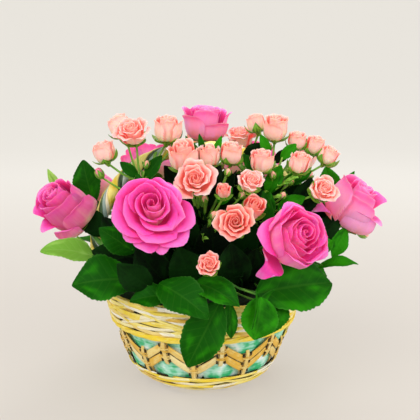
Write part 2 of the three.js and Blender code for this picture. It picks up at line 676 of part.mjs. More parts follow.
addPiece("basket_upper_border", ringSolid(round, borderSection), colours.yellow, 0.65);
const bandSolid = ringSolid(round, () => plainSection(band.low, band.high, band.inner, band.outer));
addPiece("basket_band", bandSolid, colours.yellow, 0.6);
const upperStrip = ringSolid(round, (angle) => zigzagSection(angle, zigzag.spacing / 2));
addPiece("basket_zigzag_upper", upperStrip, colours.golden, 0.7);
const lowerStrip = ringSolid(round, (angle) => zigzagSection(angle, -zigzag.spacing / 2));
addPiece("basket_zigzag_lower", lowerStrip, colours.golden, 0.7);
const linerSolid = ringSolid(24, () => plainSection(liner.low, liner.high, liner.inner, liner.outer));
addPiece("basket_ribbon_lining", linerSolid, colours.ribbon, 0.5);

// Foam block
const foamProfile = [
  [0, foam.low],
  [wallRadius(foam.low) - foam.inset - 4, foam.low],
  [wallRadius(42) - foam.inset, 42],
  [wallRadius(foam.high) - foam.inset - 1, foam.high],
  [60, foam.crown],
  [0, foam.crown],
].map(([radius, height]) => new THREE.Vector2(radius, height));
const foamBlock = solidOf(new THREE.LatheGeometry(foamProfile, 18).rotateX(Math.PI / 2));
const piercedFoam = foamBlock.subtract(wasm.Manifold.union(foamHoles)).simplify(0.02);
addPiece("flower_foam", piercedFoam, colours.foam, 0.95);

// Handle

function hoopPoint(angle) {
  const reach = hoop.radius - hoop.dip * Math.cos(angle) ** 8;
  return new THREE.Vector3(reach * Math.sin(angle), 0, hoop.height + reach * Math.cos(angle));
}

// Leg of the hoop inside the wall, then the arch, then the other leg
function hoopCentre() {
  const legs = [hoop.legLow, hoop.legHigh].map((height) => [wallRadius(height) - hoop.inset, height]);
  const points = legs.map(([radius, height]) => [-radius, height]);
  const arcEnd = Math.PI / 2 + 0.2;
  for (let i = 0; i <= 22; i++) {
    const point = hoopPoint(-arcEnd + (2 * arcEnd * i) / 22);
    points.push([point.x, point.z]);
  }
  return [...points, ...legs.reverse()];
}

function hoopSolid() {
  const centre = hoopCentre();
  const outline = [];
  const half = hoop.thickness / 2;
  const side = (i, sign) => {
    const [x0, z0] = centre[Math.max(0, i - 1)];
    const [x1, z1] = centre[Math.min(centre.length - 1, i + 1)];
    const length = Math.hypot(x1 - x0, z1 - z0);
    return new THREE.Vector2(
      centre[i][0] + (sign * half * (z1 - z0)) / length,
      centre[i][1] - (sign * half * (x1 - x0)) / length,
    );
  };
  for (let i = 0; i < centre.length; i++) outline.push(side(i, 1));
  for (let i = centre.length - 1; i >= 0; i--) outline.push(side(i, -1));
  const shape = new THREE.Shape(outline);
  const strip = new THREE.ExtrudeGeometry(shape, { depth: hoop.width, bevelEnabled: false });
  return solidOf(strip.translate(0, 0, -hoop.width / 2).rotateX(Math.PI / 2));
}

// A sleeve round the arch whose outside swells and pinches along twisted strands
function wrapSolid() {
  const points = [];
  const triangles = [];
  const { stations, sides } = wrap;
  const arcEnd = Math.PI / 2 + 0.17;
  for (let i = 0; i <= stations; i++) {
    const along = i / stations;
    const centre = hoopPoint(-arcEnd + 2 * arcEnd * along);
    const outward = centre.clone().sub(new THREE.Vector3(0, 0, hoop.height)).normalize();
    for (const [radius, relief] of [[wrap.outer, wrap.relief], [wrap.inner, 0]]) {
      for (let k = 0; k < sides; k++) {
        const turn = (k / sides) * Math.PI * 2;
        const size = radius + relief * Math.cos(2 * turn - wrap.turns * Math.PI * along);
        const across = new THREE.Vector3(0, size * Math.sin(turn), 0);
        points.push(centre.clone().addScaledVector(outward, size * Math.cos(turn)).add(across).toArray());
      }
    }
  }
  const index = (i, layer, k) => (i * 2 + layer) * sides + (k % sides);
  for (let k = 0; k < sides; k++) {
    for (let i = 0; i < stations; i++) {
      const outer = [index(i, 0, k), index(i + 1, 0, k), index(i + 1, 0, k + 1), index(i, 0, k + 1)];
      const inner = [index(i, 1, k), index(i, 1, k + 1), index(i + 1, 1, k + 1), index(i + 1, 1, k)];
      for (const [a, b, c, d] of [outer, inner]) triangles.push([a, b, c], [a, c, d]);
    }
    const near = [index(0, 0, k), index(0, 0, k + 1), index(0, 1, k + 1), index(0, 1, k)];
    const end = stations;
    const far = [index(end, 0, k), index(end, 1, k), index(end, 1, k + 1), index(end, 0, k + 1)];
    for (const [a, b, c, d] of [near, far]) triangles.push([a, b, c], [a, c, d]);
  }
  return solidOf(geometryOf(points, triangles));
}

addPiece("handle_hoop", hoopSolid(), colours.wheat, 0.6);
addPiece("handle_wrapping", wrapSolid(), colours.yellow, 0.6);

export default group;
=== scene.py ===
import math
import random

import bpy
import numpy as np
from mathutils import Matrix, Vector


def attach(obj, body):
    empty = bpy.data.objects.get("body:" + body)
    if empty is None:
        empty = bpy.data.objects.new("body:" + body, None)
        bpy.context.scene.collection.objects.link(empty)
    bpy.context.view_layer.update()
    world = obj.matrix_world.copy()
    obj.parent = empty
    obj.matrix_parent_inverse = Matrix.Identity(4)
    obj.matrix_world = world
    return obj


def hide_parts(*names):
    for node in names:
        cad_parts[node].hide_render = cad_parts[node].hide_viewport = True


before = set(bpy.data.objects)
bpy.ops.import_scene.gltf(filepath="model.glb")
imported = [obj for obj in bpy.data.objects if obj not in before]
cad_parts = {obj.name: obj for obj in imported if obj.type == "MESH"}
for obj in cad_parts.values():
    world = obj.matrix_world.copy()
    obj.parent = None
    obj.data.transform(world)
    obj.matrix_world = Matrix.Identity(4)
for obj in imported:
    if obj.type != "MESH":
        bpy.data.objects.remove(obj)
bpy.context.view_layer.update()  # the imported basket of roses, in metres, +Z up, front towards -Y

mm = 0.001  # tables and shapes are in millimetres, meshes are stored in metres
fullTurn = 2 * math.pi

# fitted to the rim and the foot of the basket in the photo
camera = {"place": (6.65, -690, 286), "pitch": 10.5, "lens": 64.3, "sensor": 36, "clip": (0.01, 20)}


def stand(name, data):  # an object of the scene
    made = bpy.data.objects.new(name, data)
    bpy.context.scene.collection.objects.link(made)
    return made


def makeCamera():
    data = bpy.data.cameras.new("camera")
    data.lens, data.sensor_width = camera["lens"], camera["sensor"]
    data.clip_start, data.clip_end = camera["clip"]
    eye = stand("camera", data)
    eye.location = Vector(camera["place"]) * mm
    eye.rotation_euler = (math.radians(90 - camera["pitch"]), 0, 0)
    bpy.context.scene.camera = eye


makeCamera()
print("camera placed")


def colour(code):  # from a printed hex colour to the linear colour that a shader takes
    parts = [int(code[i : i + 2], 16) / 255 for i in (0, 2, 4)]
    return tuple(p / 12.92 if p <= 0.04045 else ((p + 0.055) / 1.055) ** 2.4 for p in parts) + (1,)


# one socket's value: sums on it add nodes
class Wire:
    def __init__(self, look, socket):
        self.look, self.socket = look, socket

    def __add__(self, other):
        return self.look.maths("ADD", self, other)

    def __sub__(self, other):
        return self.look.maths("SUBTRACT", self, other)

    def __rsub__(self, other):
        return self.look.maths("SUBTRACT", other, self)

    def __mul__(self, other):
        return self.look.maths("MULTIPLY", self, other)

    def __abs__(self):
        return self.look.maths("ABSOLUTE", self)

    __radd__, __rmul__ = __add__, __mul__


# a material and its nodes
class Look:
    def __init__(self, name, **constants):
        self.material = bpy.data.materials.new(name)
        self.material.use_nodes = True
        self.tree = self.material.node_tree
        self.tree.nodes.clear()
        self.shader = self.tree.nodes.new("ShaderNodeBsdfPrincipled")
        output = self.tree.nodes.new("ShaderNodeOutputMaterial")
        self.tree.links.new(self.shader.outputs[0], output.inputs[0])
        for socket, value in constants.items():
            self.shader.inputs[socket.replace("_", " ")].default_value = value

    def plug(self, socket, value):
        if isinstance(value, Wire):
            self.tree.links.new(value.socket, socket)
        else:
            socket.default_value = value

    # any node: its type, its settings, then the values or wires of its sockets
    def node(self, kind, settings, sockets, output=0):
        made = self.tree.nodes.new(kind)
        for name, value in settings.items():
            setattr(made, name, value)
        for name, value in sockets.items():
            self.plug(made.inputs[name], value)
        return Wire(self, made.outputs[output])

    def maths(self, operation, *values):
        return self.node("ShaderNodeMath", {"operation": operation}, dict(enumerate(values)))

    def mix(self, share, first, second, blend="MIX"):
        sockets = {0: share, 6: first, 7: second}
        return self.node("ShaderNodeMix", {"data_type": "RGBA", "blend_type": blend}, sockets, 2)

    def between(self, value, low, high):  # 0 below low, 1 above high, eased
        settings = {"interpolation_type": "SMOOTHSTEP"}
        return self.node("ShaderNodeMapRange", settings, {0: value, 1: low, 2: high, 3: 0, 4: 1})

    def place(self):  # where the point is in its piece, in metres
        return self.node("ShaderNodeTexCoord", {}, {}, "Object")

    def noise(self, place, scale, detail=2):
        sockets = {"Vector": place, "Scale": scale, "Detail": detail}
        return self.node("ShaderNodeTexNoise", {}, sockets, "Fac")

    def grain(self, x, y, z, detail=2, scale=1.0):  # noise in directions of the shape's own
        return self.noise(self.node("ShaderNodeCombineXYZ", {}, {0: x, 1: y, 2: z}), scale, detail)

    def facts(self):  # what each shape stored at its points: along, across, side and tone
        stored = {"attribute_name": "facts"}
        colours = self.node("ShaderNodeAttribute", stored, {}, "Color")
        split = self.node("ShaderNodeSeparateColor", {}, {0: colours}).socket.node
        tone = self.node("ShaderNodeAttribute", stored, {}, "Alpha")
        return [Wire(self, split.outputs[i]) for i in range(3)] + [tone]

    def paint(self, base, rough, bump=None, depth=0.3):
        self.plug(self.shader.inputs["Base Color"], base)
        self.plug(self.shader.inputs["Roughness"], rough)
        if bump is not None:
            sockets = {"Height": bump, "Strength": 0.6, "Distance": depth * mm}
            self.plug(self.shader.inputs["Normal"], self.node("ShaderNodeBump", {}, sockets))
        return self.material


# a petal: where its rim begins, then its dyes
def petalLook(name, edge, *dyes):
    fold, body, rim, back, foot = (colour(dye) for dye in dyes)
    # subsurface for a thin petal, and a faint painted glow
    translucentWithPaintedGlow = {"Subsurface_Weight": 0.5, "Subsurface_Scale": 0.006, "Emission_Strength": 0.1}
    look = Look(name, Specular_IOR_Level=0.2, **translucentWithPaintedGlow)
    along, across, side, tone = look.facts()
    veins = look.grain(across * 26, along * 1.6, tone * 9, 3)
    blotch = look.grain(across * 2, along * 2.5, tone * 7, scale=1.4)
    lip = look.between(along + blotch * 0.14, edge, 1.12)
    # painted shade: the inner face turns to the deep fold dye towards the petal's foot, down in the bloom
    inner = look.mix(look.between(along, 0.5, 0.9), fold, body)
    inner = look.mix(lip, inner, rim)
    outer = look.mix(look.between(along + (blotch - 0.5) * 0.7, 0.06, 0.6), foot, back)
    outer = look.mix(look.between(along, 0.62, 0.95), outer, body)
    streak = look.grain(across * 6, along * 0.9, tone * 6)
    outer = look.mix(look.between(streak, 0.4, 0.9) * 0.25, outer, foot)
    outer = look.mix(lip, outer, rim)
    petal = look.mix(look.between(side, 0.3, 0.7), outer, inner)
    petal = look.mix((veins - 0.35) * 0.35, petal, rim)
    petal = look.mix(tone * 0.12, petal, fold, "MULTIPLY")
    look.plug(look.shader.inputs["Emission Color"], petal)  # painted glow: the petal emits its own colour, in place of the light that comes through a thin petal
    return look.paint(petal, 0.52 + veins * 0.12, veins, 0.12)


# a leaf: its roughness, then its dyes
def leafLook(name, rough, *dyes):
    deep, fresh, vein, under = (colour(dye) for dye in dyes)
    look = Look(name, Specular_IOR_Level=0.06)
    along, across, side, tone = look.facts()
    away = abs(across * 2 - 1)
    phase = (along - away * leafVeins["lean"]) * leafVeins["pairs"] + 0.5
    ribs = abs(look.maths("FRACT", phase) - 0.5)  # 0 on each side vein
    web = look.grain(along * 60, across * 26, tone * 5, 3)
    midrib = 1 - look.between(away, 0.02, 0.08)
    lines = look.maths("MAXIMUM", midrib, (1 - look.between(ribs, 0.02, 0.1)) * 0.6)
    cloud = look.grain(along * 3, across * 3, tone * 8)
    blade = look.mix(look.between(cloud + (tone - 0.5) * 0.5, 0.3, 0.75), deep, fresh)
    blade = look.mix(lines * 0.09, blade, vein)
    blade = look.mix(look.between(side, 0.3, 0.7), under, blade)
    relief = look.between(ribs, 0.0, 0.4) * 0.6 - midrib + web * 0.3
    return look.paint(blade, rough + web * 0.16, relief, 0.18)


def stemLook(name, *dyes):
    deep, fresh, blush = (colour(dye) for dye in dyes)
    look = Look(name)
    along, across, _, tone = look.facts()
    grain = look.noise(look.place(), 160, 3)
    streak = look.grain(along * 3, across * 7, tone * 6)
    skin = look.mix(look.between(streak, 0.35, 0.7), deep, fresh)
    skin = look.mix(look.between(streak + tone * 0.2, 0.68, 0.95) * 0.5, skin, blush)
    return look.paint(skin, 0.42 + grain * 0.15, grain, 0.2)


def splintLook(name, *dyes, rough=0.5):
    pale, dyed, grainAndEdgeShade = (colour(dye) for dye in dyes)
    look = Look(name)
    along, across, _, tone = look.facts()
    fibre = look.grain(along * 2.2, across * 13, tone * 20, 4)
    soak = look.grain(along * 3.2, across * 1.2, tone * 11, scale=1.3)
    shade = look.mix(look.between(soak + (tone - 0.5) * 0.5, 0.3, 0.72), pale, dyed)
    # painted shade: the splint turns darker along both its edges
    edge = look.between(abs(across * 2 - 1), 0.78, 1.0)
    shade = look.mix(look.between(fibre, 0.54, 0.8) * 0.5 + edge * 0.4, shade, grainAndEdgeShade)
    return look.paint(shade, rough + fibre * 0.2, fibre, 0.4)


def shavingLook(name, *dyes):
    white, aqua, green = (colour(dye) for dye in dyes)
    look = Look(name)
    along, across, side, tone = look.facts()
    streak = look.grain(along * 2 + across, across * 9, tone * 5, 4)
    cloud = look.grain(along * 2.6, across * 1.5, tone * 3)
    wet = cloud + (streak - 0.5) * 0.36 + side * 0.14
    shade = look.mix(look.between(wet, 0.36, 0.56), white, aqua)
    shade = look.mix(look.between(wet, 0.54, 0.74), shade, green)
    return look.paint(shade, 0.35 + streak * 0.2, streak, 0.3)


def foamLook(name, *dyes):
    look = Look(name)
    place = look.place()
    pores = look.noise(place, 900)
    cloud = look.noise(place, 40, 3)
    shade = look.mix(look.between(cloud + pores * 0.4, 0.5, 0.95), *(colour(dye) for dye in dyes))
    return look.paint(shade, 0.9 + cloud * 0.1, pores, 0.8)


leafVeins = {"pairs": 8, "lean": 0.16}

looks = {
    # dyes: fold (painted shade deep in the bloom), body, rim, back and foot
    "hotPink": petalLook("hot pink petal", 0.88, "dc2884", "f042a4", "f970bc", "f274b4", "f3ddb2"),
    "darkPink": petalLook("dark pink petal", 0.88, "cc2880", "e648a8", "f478c2", "d4568a", "ecd0a6"),
    "palePink": petalLook("pale pink petal", 0.88, "dc3c90", "f05cb0", "fa98d0", "f290be", "dc8a80"),
    "salmon": petalLook("salmon petal", 0.92, "fa766c", "fbaca6", "fdd4ca", "fbc2ba", "fbe9c4"),
    "coral": petalLook("coral petal", 0.92, "ec5850", "f6948c", "fcc4b8", "f8a8a0", "fbe9c4"),
    # deep, fresh, veins and underside
    "leaf": leafLook("rose leaf", 0.5, "0c4a01", "257f04", "54962c", "387026"),
    # painted shade: a near-black copy of the rose leaf, for leaves inside the bunch
    "paintedShadeLeaf": leafLook("shaded rose leaf", 0.6, "020e02", "082a05", "1c4410", "14360f"),
    "lightLeaf": leafLook("pale rose leaf", 0.42, "6ca036", "9ccb60", "bcda8a", "a4c87a"),
    "stem": stemLook("rose stem", "2a6614", "5c9830", "7c7a34"),
    "sprig": stemLook("spray stem", "4a9018", "98c844", "bcc060"),
    # pale, dyed, and the fibres and the painted shade at the edges
    "yellow": splintLook("yellow splint", "fdf4b4", "fae052", "94640f"),
    "bright": splintLook("bright yellow splint", "fff090", "fadc30", "a07410"),
    "golden": splintLook("golden splint", "f4dc8c", "e8b840", "7c5014"),
    "cream": splintLook("cream splint", "fffdf0", "f8f0cc", "a8853c"),
    "wheat": splintLook("wheat splint", "f4e2a2", "e6c468", "86602c"),
    "darkGreen": splintLook("dark green splint", "5c7a4e", "24422c", "101a10"),
    "teal": splintLook("grey teal splint", "dfeae4", "9db8ae", "4e625a"),
    # painted shade: a near-black splint, put where only shade would be seen
    "shade": splintLook("shaded splint", "3a2c14", "241a0c", "0c0804", rough=0.8),
    "shaving": shavingLook("green shaving", "f2faf7", "a8e6d0", "2ab877"),
    "foam": foamLook("wet foam", "0a1c0a", "1a3816"),
}
print("finishes made:", len(looks))


def unit(v):
    return v / np.maximum(np.linalg.norm(v, axis=-1, keepdims=True), 1e-9)


def stack(*parts):  # points from their coordinates, each of which may be one number
    return np.stack(np.broadcast_arrays(*parts), -1)


def steady(path):  # a sideways direction that is never along the path
    way = unit(path[-1] - path[0])
    return unit(np.cross(way, [0.3, 1, 0.1] if abs(way[1]) < 0.8 else [1, 0.2, 0]))


# the section of a flat splint with rounded edges, in shares of half its thickness and half its width
splintHalf = [(0, -1), (0.8, -0.8), (1, -0.3), (1, 0.3), (0.8, 0.8)]
flat = splintHalf + [(-out, -side) for out, side in splintHalf]
grainLength = 30  # one unit of a splint's grain, along it


# points and faces of one piece, gathered in millimetres
class Shape:
    def __init__(self):
        self.points, self.facts, self.faces, self.slots, self.count = [], [], [], [], 0
        self.finishes = []

    def put(self, points, facts, faces, finish):
        self.points.append(points.reshape(-1, 3))
        self.facts.append(facts.reshape(-1, 4))
        if finish not in self.finishes:
            self.finishes.append(finish)
        for group in faces:
            self.faces.append(group + self.count)
            self.slots.append(np.full(len(group), self.finishes.index(finish)))
        self.count += len(self.points[-1])

    def quads(self, index):
        corners = [index[:-1, :-1], index[1:, :-1], index[1:, 1:], index[:-1, 1:]]
        return np.stack([c.ravel() for c in corners], -1)

    # a closed thin shell about a grid of points, as thick as given in the middle and sharp at its border
    def sheet(self, grid, along, across, tone, thick, finish):
        rows, columns = grid.shape[:2]
        normal = unit(np.cross(np.gradient(grid, axis=0), np.gradient(grid, axis=1)))
        inside = np.zeros((rows, columns), bool)
        inside[1:-1, 1:-1] = True
        lift = np.where(inside, thick / 2, 0.0)[..., None] * normal
        upper = np.arange(rows * columns).reshape(rows, columns)
        lower = upper.copy()
        lower[inside] = rows * columns + np.arange(inside.sum())
        fields = stack(along, across, np.where(inside, 1.0, 0.5), tone)
        under = fields[inside]
        under[:, 2] = 0.0
        points = np.vstack([(grid + lift).reshape(-1, 3), (grid - lift)[inside]])
        quads = [self.quads(upper), self.quads(lower)[:, ::-1]]
        self.put(points, np.vstack([fields.reshape(-1, 4), under]), quads, finish)

    # a closed body swept along a path, with one sideways direction or one for each point
    def sweep(self, path, side, halfWide, halfThick, tone, finish, wet=0.5, section=flat):
        count, corners = len(path), len(section)
        forward = unit(np.gradient(path, axis=0))
        side = unit(side - (side * forward).sum(-1, keepdims=True) * forward)
        out = np.cross(side, forward)
        section = np.array(section)
        wide = section[None, :, 1] * np.broadcast_to(halfWide, count)[:, None]
        deep = section[None, :, 0] * np.broadcast_to(halfThick, count)[:, None]
        points = path[:, None] + side[:, None] * wide[..., None] + out[:, None] * deep[..., None]
        reach = np.concatenate([[0], np.cumsum(np.linalg.norm(np.diff(path, axis=0), axis=1))])
        wet = np.broadcast_to(wet, count)[:, None]
        facts = stack(reach[:, None] / grainLength, (section[None, :, 1] + 1) / 2, wet, tone)
        index = np.arange(count * corners).reshape(count, corners)
        index = np.hstack([index, index[:, :1]])
        ends = [index[:1, :-1][:, ::-1], index[-1:, :-1]]
        self.put(points, facts, [self.quads(index), *ends], finish)

    def tube(self, path, radius, sides, tone, finish):
        section = [(math.cos(i * fullTurn / sides), math.sin(i * fullTurn / sides)) for i in range(sides)]
        self.sweep(path, steady(path), radius, radius, tone, finish, section=section)

    # a closed ring, given as rows of points round the basket's axis
    def ring(self, points, finish):
        rows, corners = points.shape[:2]
        facts = stack(points[..., 0] / grainLength, points[..., 1] / 94 + 0.5, 0, 0)
        index = np.arange(rows * corners).reshape(rows, corners)
        index = np.vstack([index, index[:1]])
        index = np.hstack([index, index[:, :1]])
        self.put(points, facts, [self.quads(index)[:, ::-1]], finish)

    def build(self, name, nodes, sharp=50):
        points = np.vstack(self.points) * mm
        facts = np.vstack(self.facts)
        sizes = np.concatenate([np.full(len(f), f.shape[1]) for f in self.faces])
        corners = np.concatenate([f.ravel() for f in self.faces])
        mesh = bpy.data.meshes.new(name)
        mesh.vertices.add(len(points))
        mesh.vertices.foreach_set("co", points.ravel())
        mesh.loops.add(len(corners))
        mesh.loops.foreach_set("vertex_index", corners)
        mesh.polygons.add(len(sizes))
        mesh.polygons.foreach_set("loop_start", np.concatenate([[0], np.cumsum(sizes)[:-1]]))
        mesh.polygons.foreach_set("material_index", np.concatenate(self.slots))
        mesh.update(calc_edges=True)
        field = mesh.attributes.new("facts", "FLOAT_COLOR", "POINT")
        field.data.foreach_set("color", facts.ravel())
        mesh.polygons.foreach_set("use_smooth", np.ones(len(sizes), bool))
        mesh.set_sharp_from_angle(angle=math.radians(sharp))
        for finish in self.finishes:
            mesh.materials.append(looks[finish])
        piece = stand(name, mesh)
        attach(piece, "root")
        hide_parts(*nodes)


# each rose's middle, facing, width and kind, where its stem leaves the foam, and a point on the stem's way
roses = {
    "front_left": ((-39, -93, 175), (-0.03, -0.82, 0.57), 68, "open", (-30, -34), None),
    "front_right": ((77, -86, 152), (0.45, -0.82, 0.39), 66, "goblet", (40, -36), None),
    "left": ((-127, -20, 166), (-0.52, -0.5, 0.68), 50, "cup", (-42, -24), (-84, -34, 128)),
    "right": ((140, -10, 166), (0.5, -0.25, 0.8), 48, "cup", (52, -22), (92, -26, 126)),
    "top": ((2, 30, 240), (0.04, -0.08, 1), 44, "bowl", (2, 20), None),
    "back_left": ((-57, 48, 193), (-0.35, 0.5, 0.79), 50, "cup", (-26, 24), None),
    "back_right": ((50, 63, 192), (0.3, 0.55, 0.78), 52, "cup", (26, 30), None),
    "back_low": ((-6, 104, 166), (-0.05, 0.8, 0.6), 62, "cup", (-12, 52), None),
    "back_side": ((-108, 48, 170), (-0.7, 0.3, 0.65), 42, "cup", (-50, 22), (-87, 34, 136)),
}

# the other roses are hot pink, the other sprays salmon
petalDyes = {
    "left": "darkPink", "right": "palePink", "top": "palePink", "front_low": "coral",
    "front_round": "coral", "front_behind": "coral", "front_small": "coral",
}

# petals from the heart outwards: each row is read at a share from 0, the heart, to 1, the guard petals
blooms = {
    "open": {
        "tall": 0.6, "petals": 17, "thick": 0.55, "tip": (0, 0.02, 0.05, 0.08, 0.12),
        "lipRadius": (0.07, 0.25, 0.48, 0.78, 0.98), "lipHeight": (0.97, 1.0, 0.96, 0.86, 0.76),
        "halfAngle": (2.4, 1.6, 1.25, 1.1, 0.95), "curl": (0, 0.1, 0.4, 0.7, 1.0),
    },
    "goblet": {
        "tall": 0.6, "petals": 18, "thick": 0.55, "tip": (0, 0.02, 0.04, 0.05, 0.08),
        "lipRadius": (0.07, 0.24, 0.44, 0.7, 0.9), "lipHeight": (0.97, 1.0, 0.96, 0.88, 0.8),
        "halfAngle": (2.4, 1.7, 1.35, 1.15, 1.0), "curl": (0, 0.1, 0.4, 0.7, 1.0),
    },
    "cup": {
        "tall": 0.86, "petals": 18, "thick": 0.5, "tip": (0, 0.01, 0.05, 0.1, 0.14),
        "lipRadius": (0.07, 0.24, 0.44, 0.72, 0.98), "lipHeight": (0.98, 1.0, 0.98, 0.9, 0.78),
        "halfAngle": (2.4, 1.5, 1.2, 0.98, 0.86), "curl": (0, 0.1, 0.5, 0.9, 1.2),
    },
    "spray": {
        "tall": 0.6, "petals": 18, "thick": 0.4, "tip": (0, 0, 0, 0.02, 0.03),
        "lipRadius": (0.08, 0.26, 0.48, 0.76, 1.03), "lipHeight": (0.98, 0.99, 0.95, 0.88, 0.78),
        "halfAngle": (2.2, 1.35, 1.0, 0.84, 0.74), "curl": (0, 0.2, 0.5, 0.8, 1.0),
    },
    "bowl": {
        "tall": 0.86, "petals": 18, "thick": 0.5, "tip": (0, 0.01, 0.05, 0.1, 0.14),
        "lipRadius": (0.07, 0.24, 0.44, 0.72, 0.98), "lipHeight": (0.8, 0.83, 0.84, 0.8, 0.72),
        "halfAngle": (2.4, 1.5, 1.2, 1.05, 0.95), "curl": (0, 0.1, 0.4, 0.8, 1.1),
    },
    "bud": {
        "tall": 0.95, "petals": 12, "thick": 0.35, "tip": (0, 0.02, 0.04, 0.06, 0.08),
        "lipRadius": (0.1, 0.3, 0.54, 0.8, 1.03), "lipHeight": (0.96, 0.98, 0.95, 0.9, 0.83),
        "halfAngle": (2.2, 1.4, 1.15, 1.0, 0.9), "curl": (0, 0.2, 0.5, 0.8, 1.0),
    },
}
shares = (0, 0.25, 0.5, 0.75, 1)
spiral = (0.5, 0.2, 0.1, 0.08, 0.05)  # how far one side of a petal stands outside the other, at these shares

# radius and height of a petal's middle line, in shares of its lip's, from its foot to beyond its lip
profiles = {
    "heart": (
        (0.3, 0), (0.6, 0.2), (0.85, 0.4), (1.0, 0.6),
        (1.0, 0.8), (0.95, 0.92), (0.9, 1), (0.88, 1.06),
    ),
    "open": (
        (0.06, 0), (0.36, 0.1), (0.54, 0.36), (0.65, 0.64),
        (0.76, 0.87), (0.9, 0.99), (1.03, 0.98), (1.16, 0.9),
    ),
    "goblet": (
        (0.06, 0), (0.5, 0.04), (0.86, 0.18), (1.04, 0.42),
        (1.03, 0.68), (0.97, 0.88), (1.03, 1.0), (1.16, 0.97),
    ),
    "hang": (
        (0.06, 0), (0.45, 0.1), (0.7, 0.5), (0.82, 0.9),
        (0.9, 1.0), (0.97, 0.75), (1.02, 0.3), (1.06, -0.2),
    ),
    "cup": (
        (0.08, 0), (0.66, 0.03), (0.98, 0.2), (1.05, 0.45),
        (0.99, 0.72), (0.94, 0.9), (1.0, 1), (1.12, 1.01),
    ),
    "spray": (
        (0.06, 0), (0.4, 0.08), (0.62, 0.34), (0.7, 0.62),
        (0.78, 0.86), (0.88, 0.98), (1.02, 1), (1.14, 0.95),
    ),
    "bowl": (
        (0.08, 0), (0.5, 0.04), (0.78, 0.2), (0.9, 0.45),
        (0.95, 0.72), (1.0, 0.9), (1.1, 1), (1.26, 1.04),
    ),
    "bud": (
        (0.1, 0), (0.62, 0.05), (0.9, 0.22), (1.0, 0.45),
        (0.98, 0.72), (0.94, 0.9), (1.02, 1), (1.15, 1.03),
    ),
}
profiles["droop"] = profiles["hang"]  # the same way down, but narrowing to a tip

# the line that the lips of a rose's outer petals follow: degrees round the bloom, radius and height
outlines = {
    "front_left": [
        (28, 22, 30), (72, 20, 30), (100, 23, 31), (135, 27, 29), (166, 33, 26), (195, 31, 23),
        (219, 31, 18), (257, 31, 17), (281, 31, 15), (309, 35, 16), (341, 34, 20), (352, 28, 26),
    ],
    "front_right": [
        (28, 29, 26), (62, 19, 32), (132, 28, 30), (187, 28, 28), (225, 27, 27), (268, 27, 25),
        (311, 30, 19), (357, 35, 18),
    ],
}

# guard petals that stand out: degrees, radius and height of the lip, half the angle, point, profile
guards = {
    "front_left": [
        (100, 22, 31, 0.8, 0.12, "open"), (165, 29, 26, 0.7, 0.07, "open"),
        (195, 28, 22, 0.6, 0.06, "open"), (222, 29, 18, 0.65, 0.12, "open"),
        (252, 31, 14, 0.5, 0.06, "open"), (31, 23, 28, 0.8, 0.1, "open"),
        (341, 31, 20, 0.85, 0.15, "open"), (309, 33, 16, 0.7, 0.12, "open"),
        (282, 31, 12, 0.45, 0.2, "open"),
    ],
    "front_right": [
        (132, 25, 31, 0.85, 0.14, "open"), (28, 25, 27, 0.8, 0.12, "open"),
        (357, 31, 19, 0.75, 0.16, "open"), (200, 32, 22, 0.85, 0.16, "open"),
        (248, 40, 15, 0.6, 0.1, "droop"),
    ],
    "left": [
        (120, 21, 38, 0.9, 0.0, "cup"), (60, 19, 37, 0.8, 0.0, "cup"),
        (15, 20, 35, 0.8, 0.02, "cup"), (278, 19, 35, 1.3, 0.0, "cup"),
        (160, 26, 31, 0.7, 0.14, "open"), (310, 25, 25, 0.8, 0.04, "cup"),
        (208, 27, 21, 0.65, 0.12, "open"), (255, 26, 15, 0.6, 0.04, "cup"),
    ],
    "right": [
        (110, 22, 38, 0.9, 0.0, "cup"), (200, 26, 40, 0.75, 0.05, "cup"),
        (25, 26, 37, 0.7, 0.15, "open"), (262, 23, 34, 0.8, 0.0, "cup"),
        (292, 25, 24, 0.75, 0.04, "cup"), (338, 28, 21, 0.7, 0.14, "open"),
        (207, 43, 12, 0.5, 0.12, "hang"),
    ],
    "top": [
        (90, 21, 30, 0.9, 0.0, "bowl"), (180, 20, 30, 0.8, 0.02, "bowl"),
        (45, 21, 28, 0.8, 0.03, "bowl"), (225, 22, 25, 0.8, 0.05, "bowl"),
        (0, 22, 27, 0.6, 0.08, "bowl"), (300, 22, 19, 0.8, 0.04, "bowl"),
    ],
}
guardShare = {"left": 0.72, "right": 0.66, "top": 0.75}  # the petals that a rule places end at this share


def ease(x, low, high):  # 0 up to low, 1 from high on, and smooth between
    x = np.clip((x - low) / (high - low), 0, 1)
    return x * x * (3 - 2 * x)


def smoothPath(points, count):  # a curve through the points, evenly parted between them
    p = np.array(points, float)
    p = np.vstack([2 * p[0] - p[1], p, 2 * p[-1] - p[-2]])
    made = []
    for x in np.linspace(0, len(points) - 1 - 1e-6, count):
        i, t = int(x), x - int(x)
        a, b, c, d = p[i : i + 4]
        made.append(b + 0.5 * t * (c - a + t * (2 * a - 5 * b + 4 * c - d + t * (3 * (b - c) + d - a))))
    return np.array(made)


def outlineOf(corners):  # degrees, radii and heights, straight from each corner to the next
    made = []
    closed = corners + [(corners[0][0] + 360, *corners[0][1:])]
    for (a, r, h), (b, s, k) in zip(corners, closed[1:]):
        for degree in range(a, b, 2):
            turn, rest = math.radians(degree - a), math.radians(b - degree)
            radius = r * s * math.sin(turn + rest) / (r * math.sin(turn) + s * math.sin(rest))
            made.append((degree, radius, h + (k - h) * (degree - a) / (b - a)))
    return np.array(made).T


profileReach = np.linspace(0, 7 / 6, 71)
profileCurves = {name: smoothPath(points, 71).T for name, points in profiles.items()}
petalForm = {
    "largeBloom": 40, "large": (15, 13), "small": (10, 9),  # width of a bloom, rows and columns of its petals
    "shoulder": 0.08, "guardShoulder": 0.28,  # how far the lip falls towards its corners
    "taper": 0.75,  # how much a drooping petal narrows to its tip
    "ruffle": 0.014, "smallRuffle": 0.048,  # waves of the lip, as a share of half the bloom
}


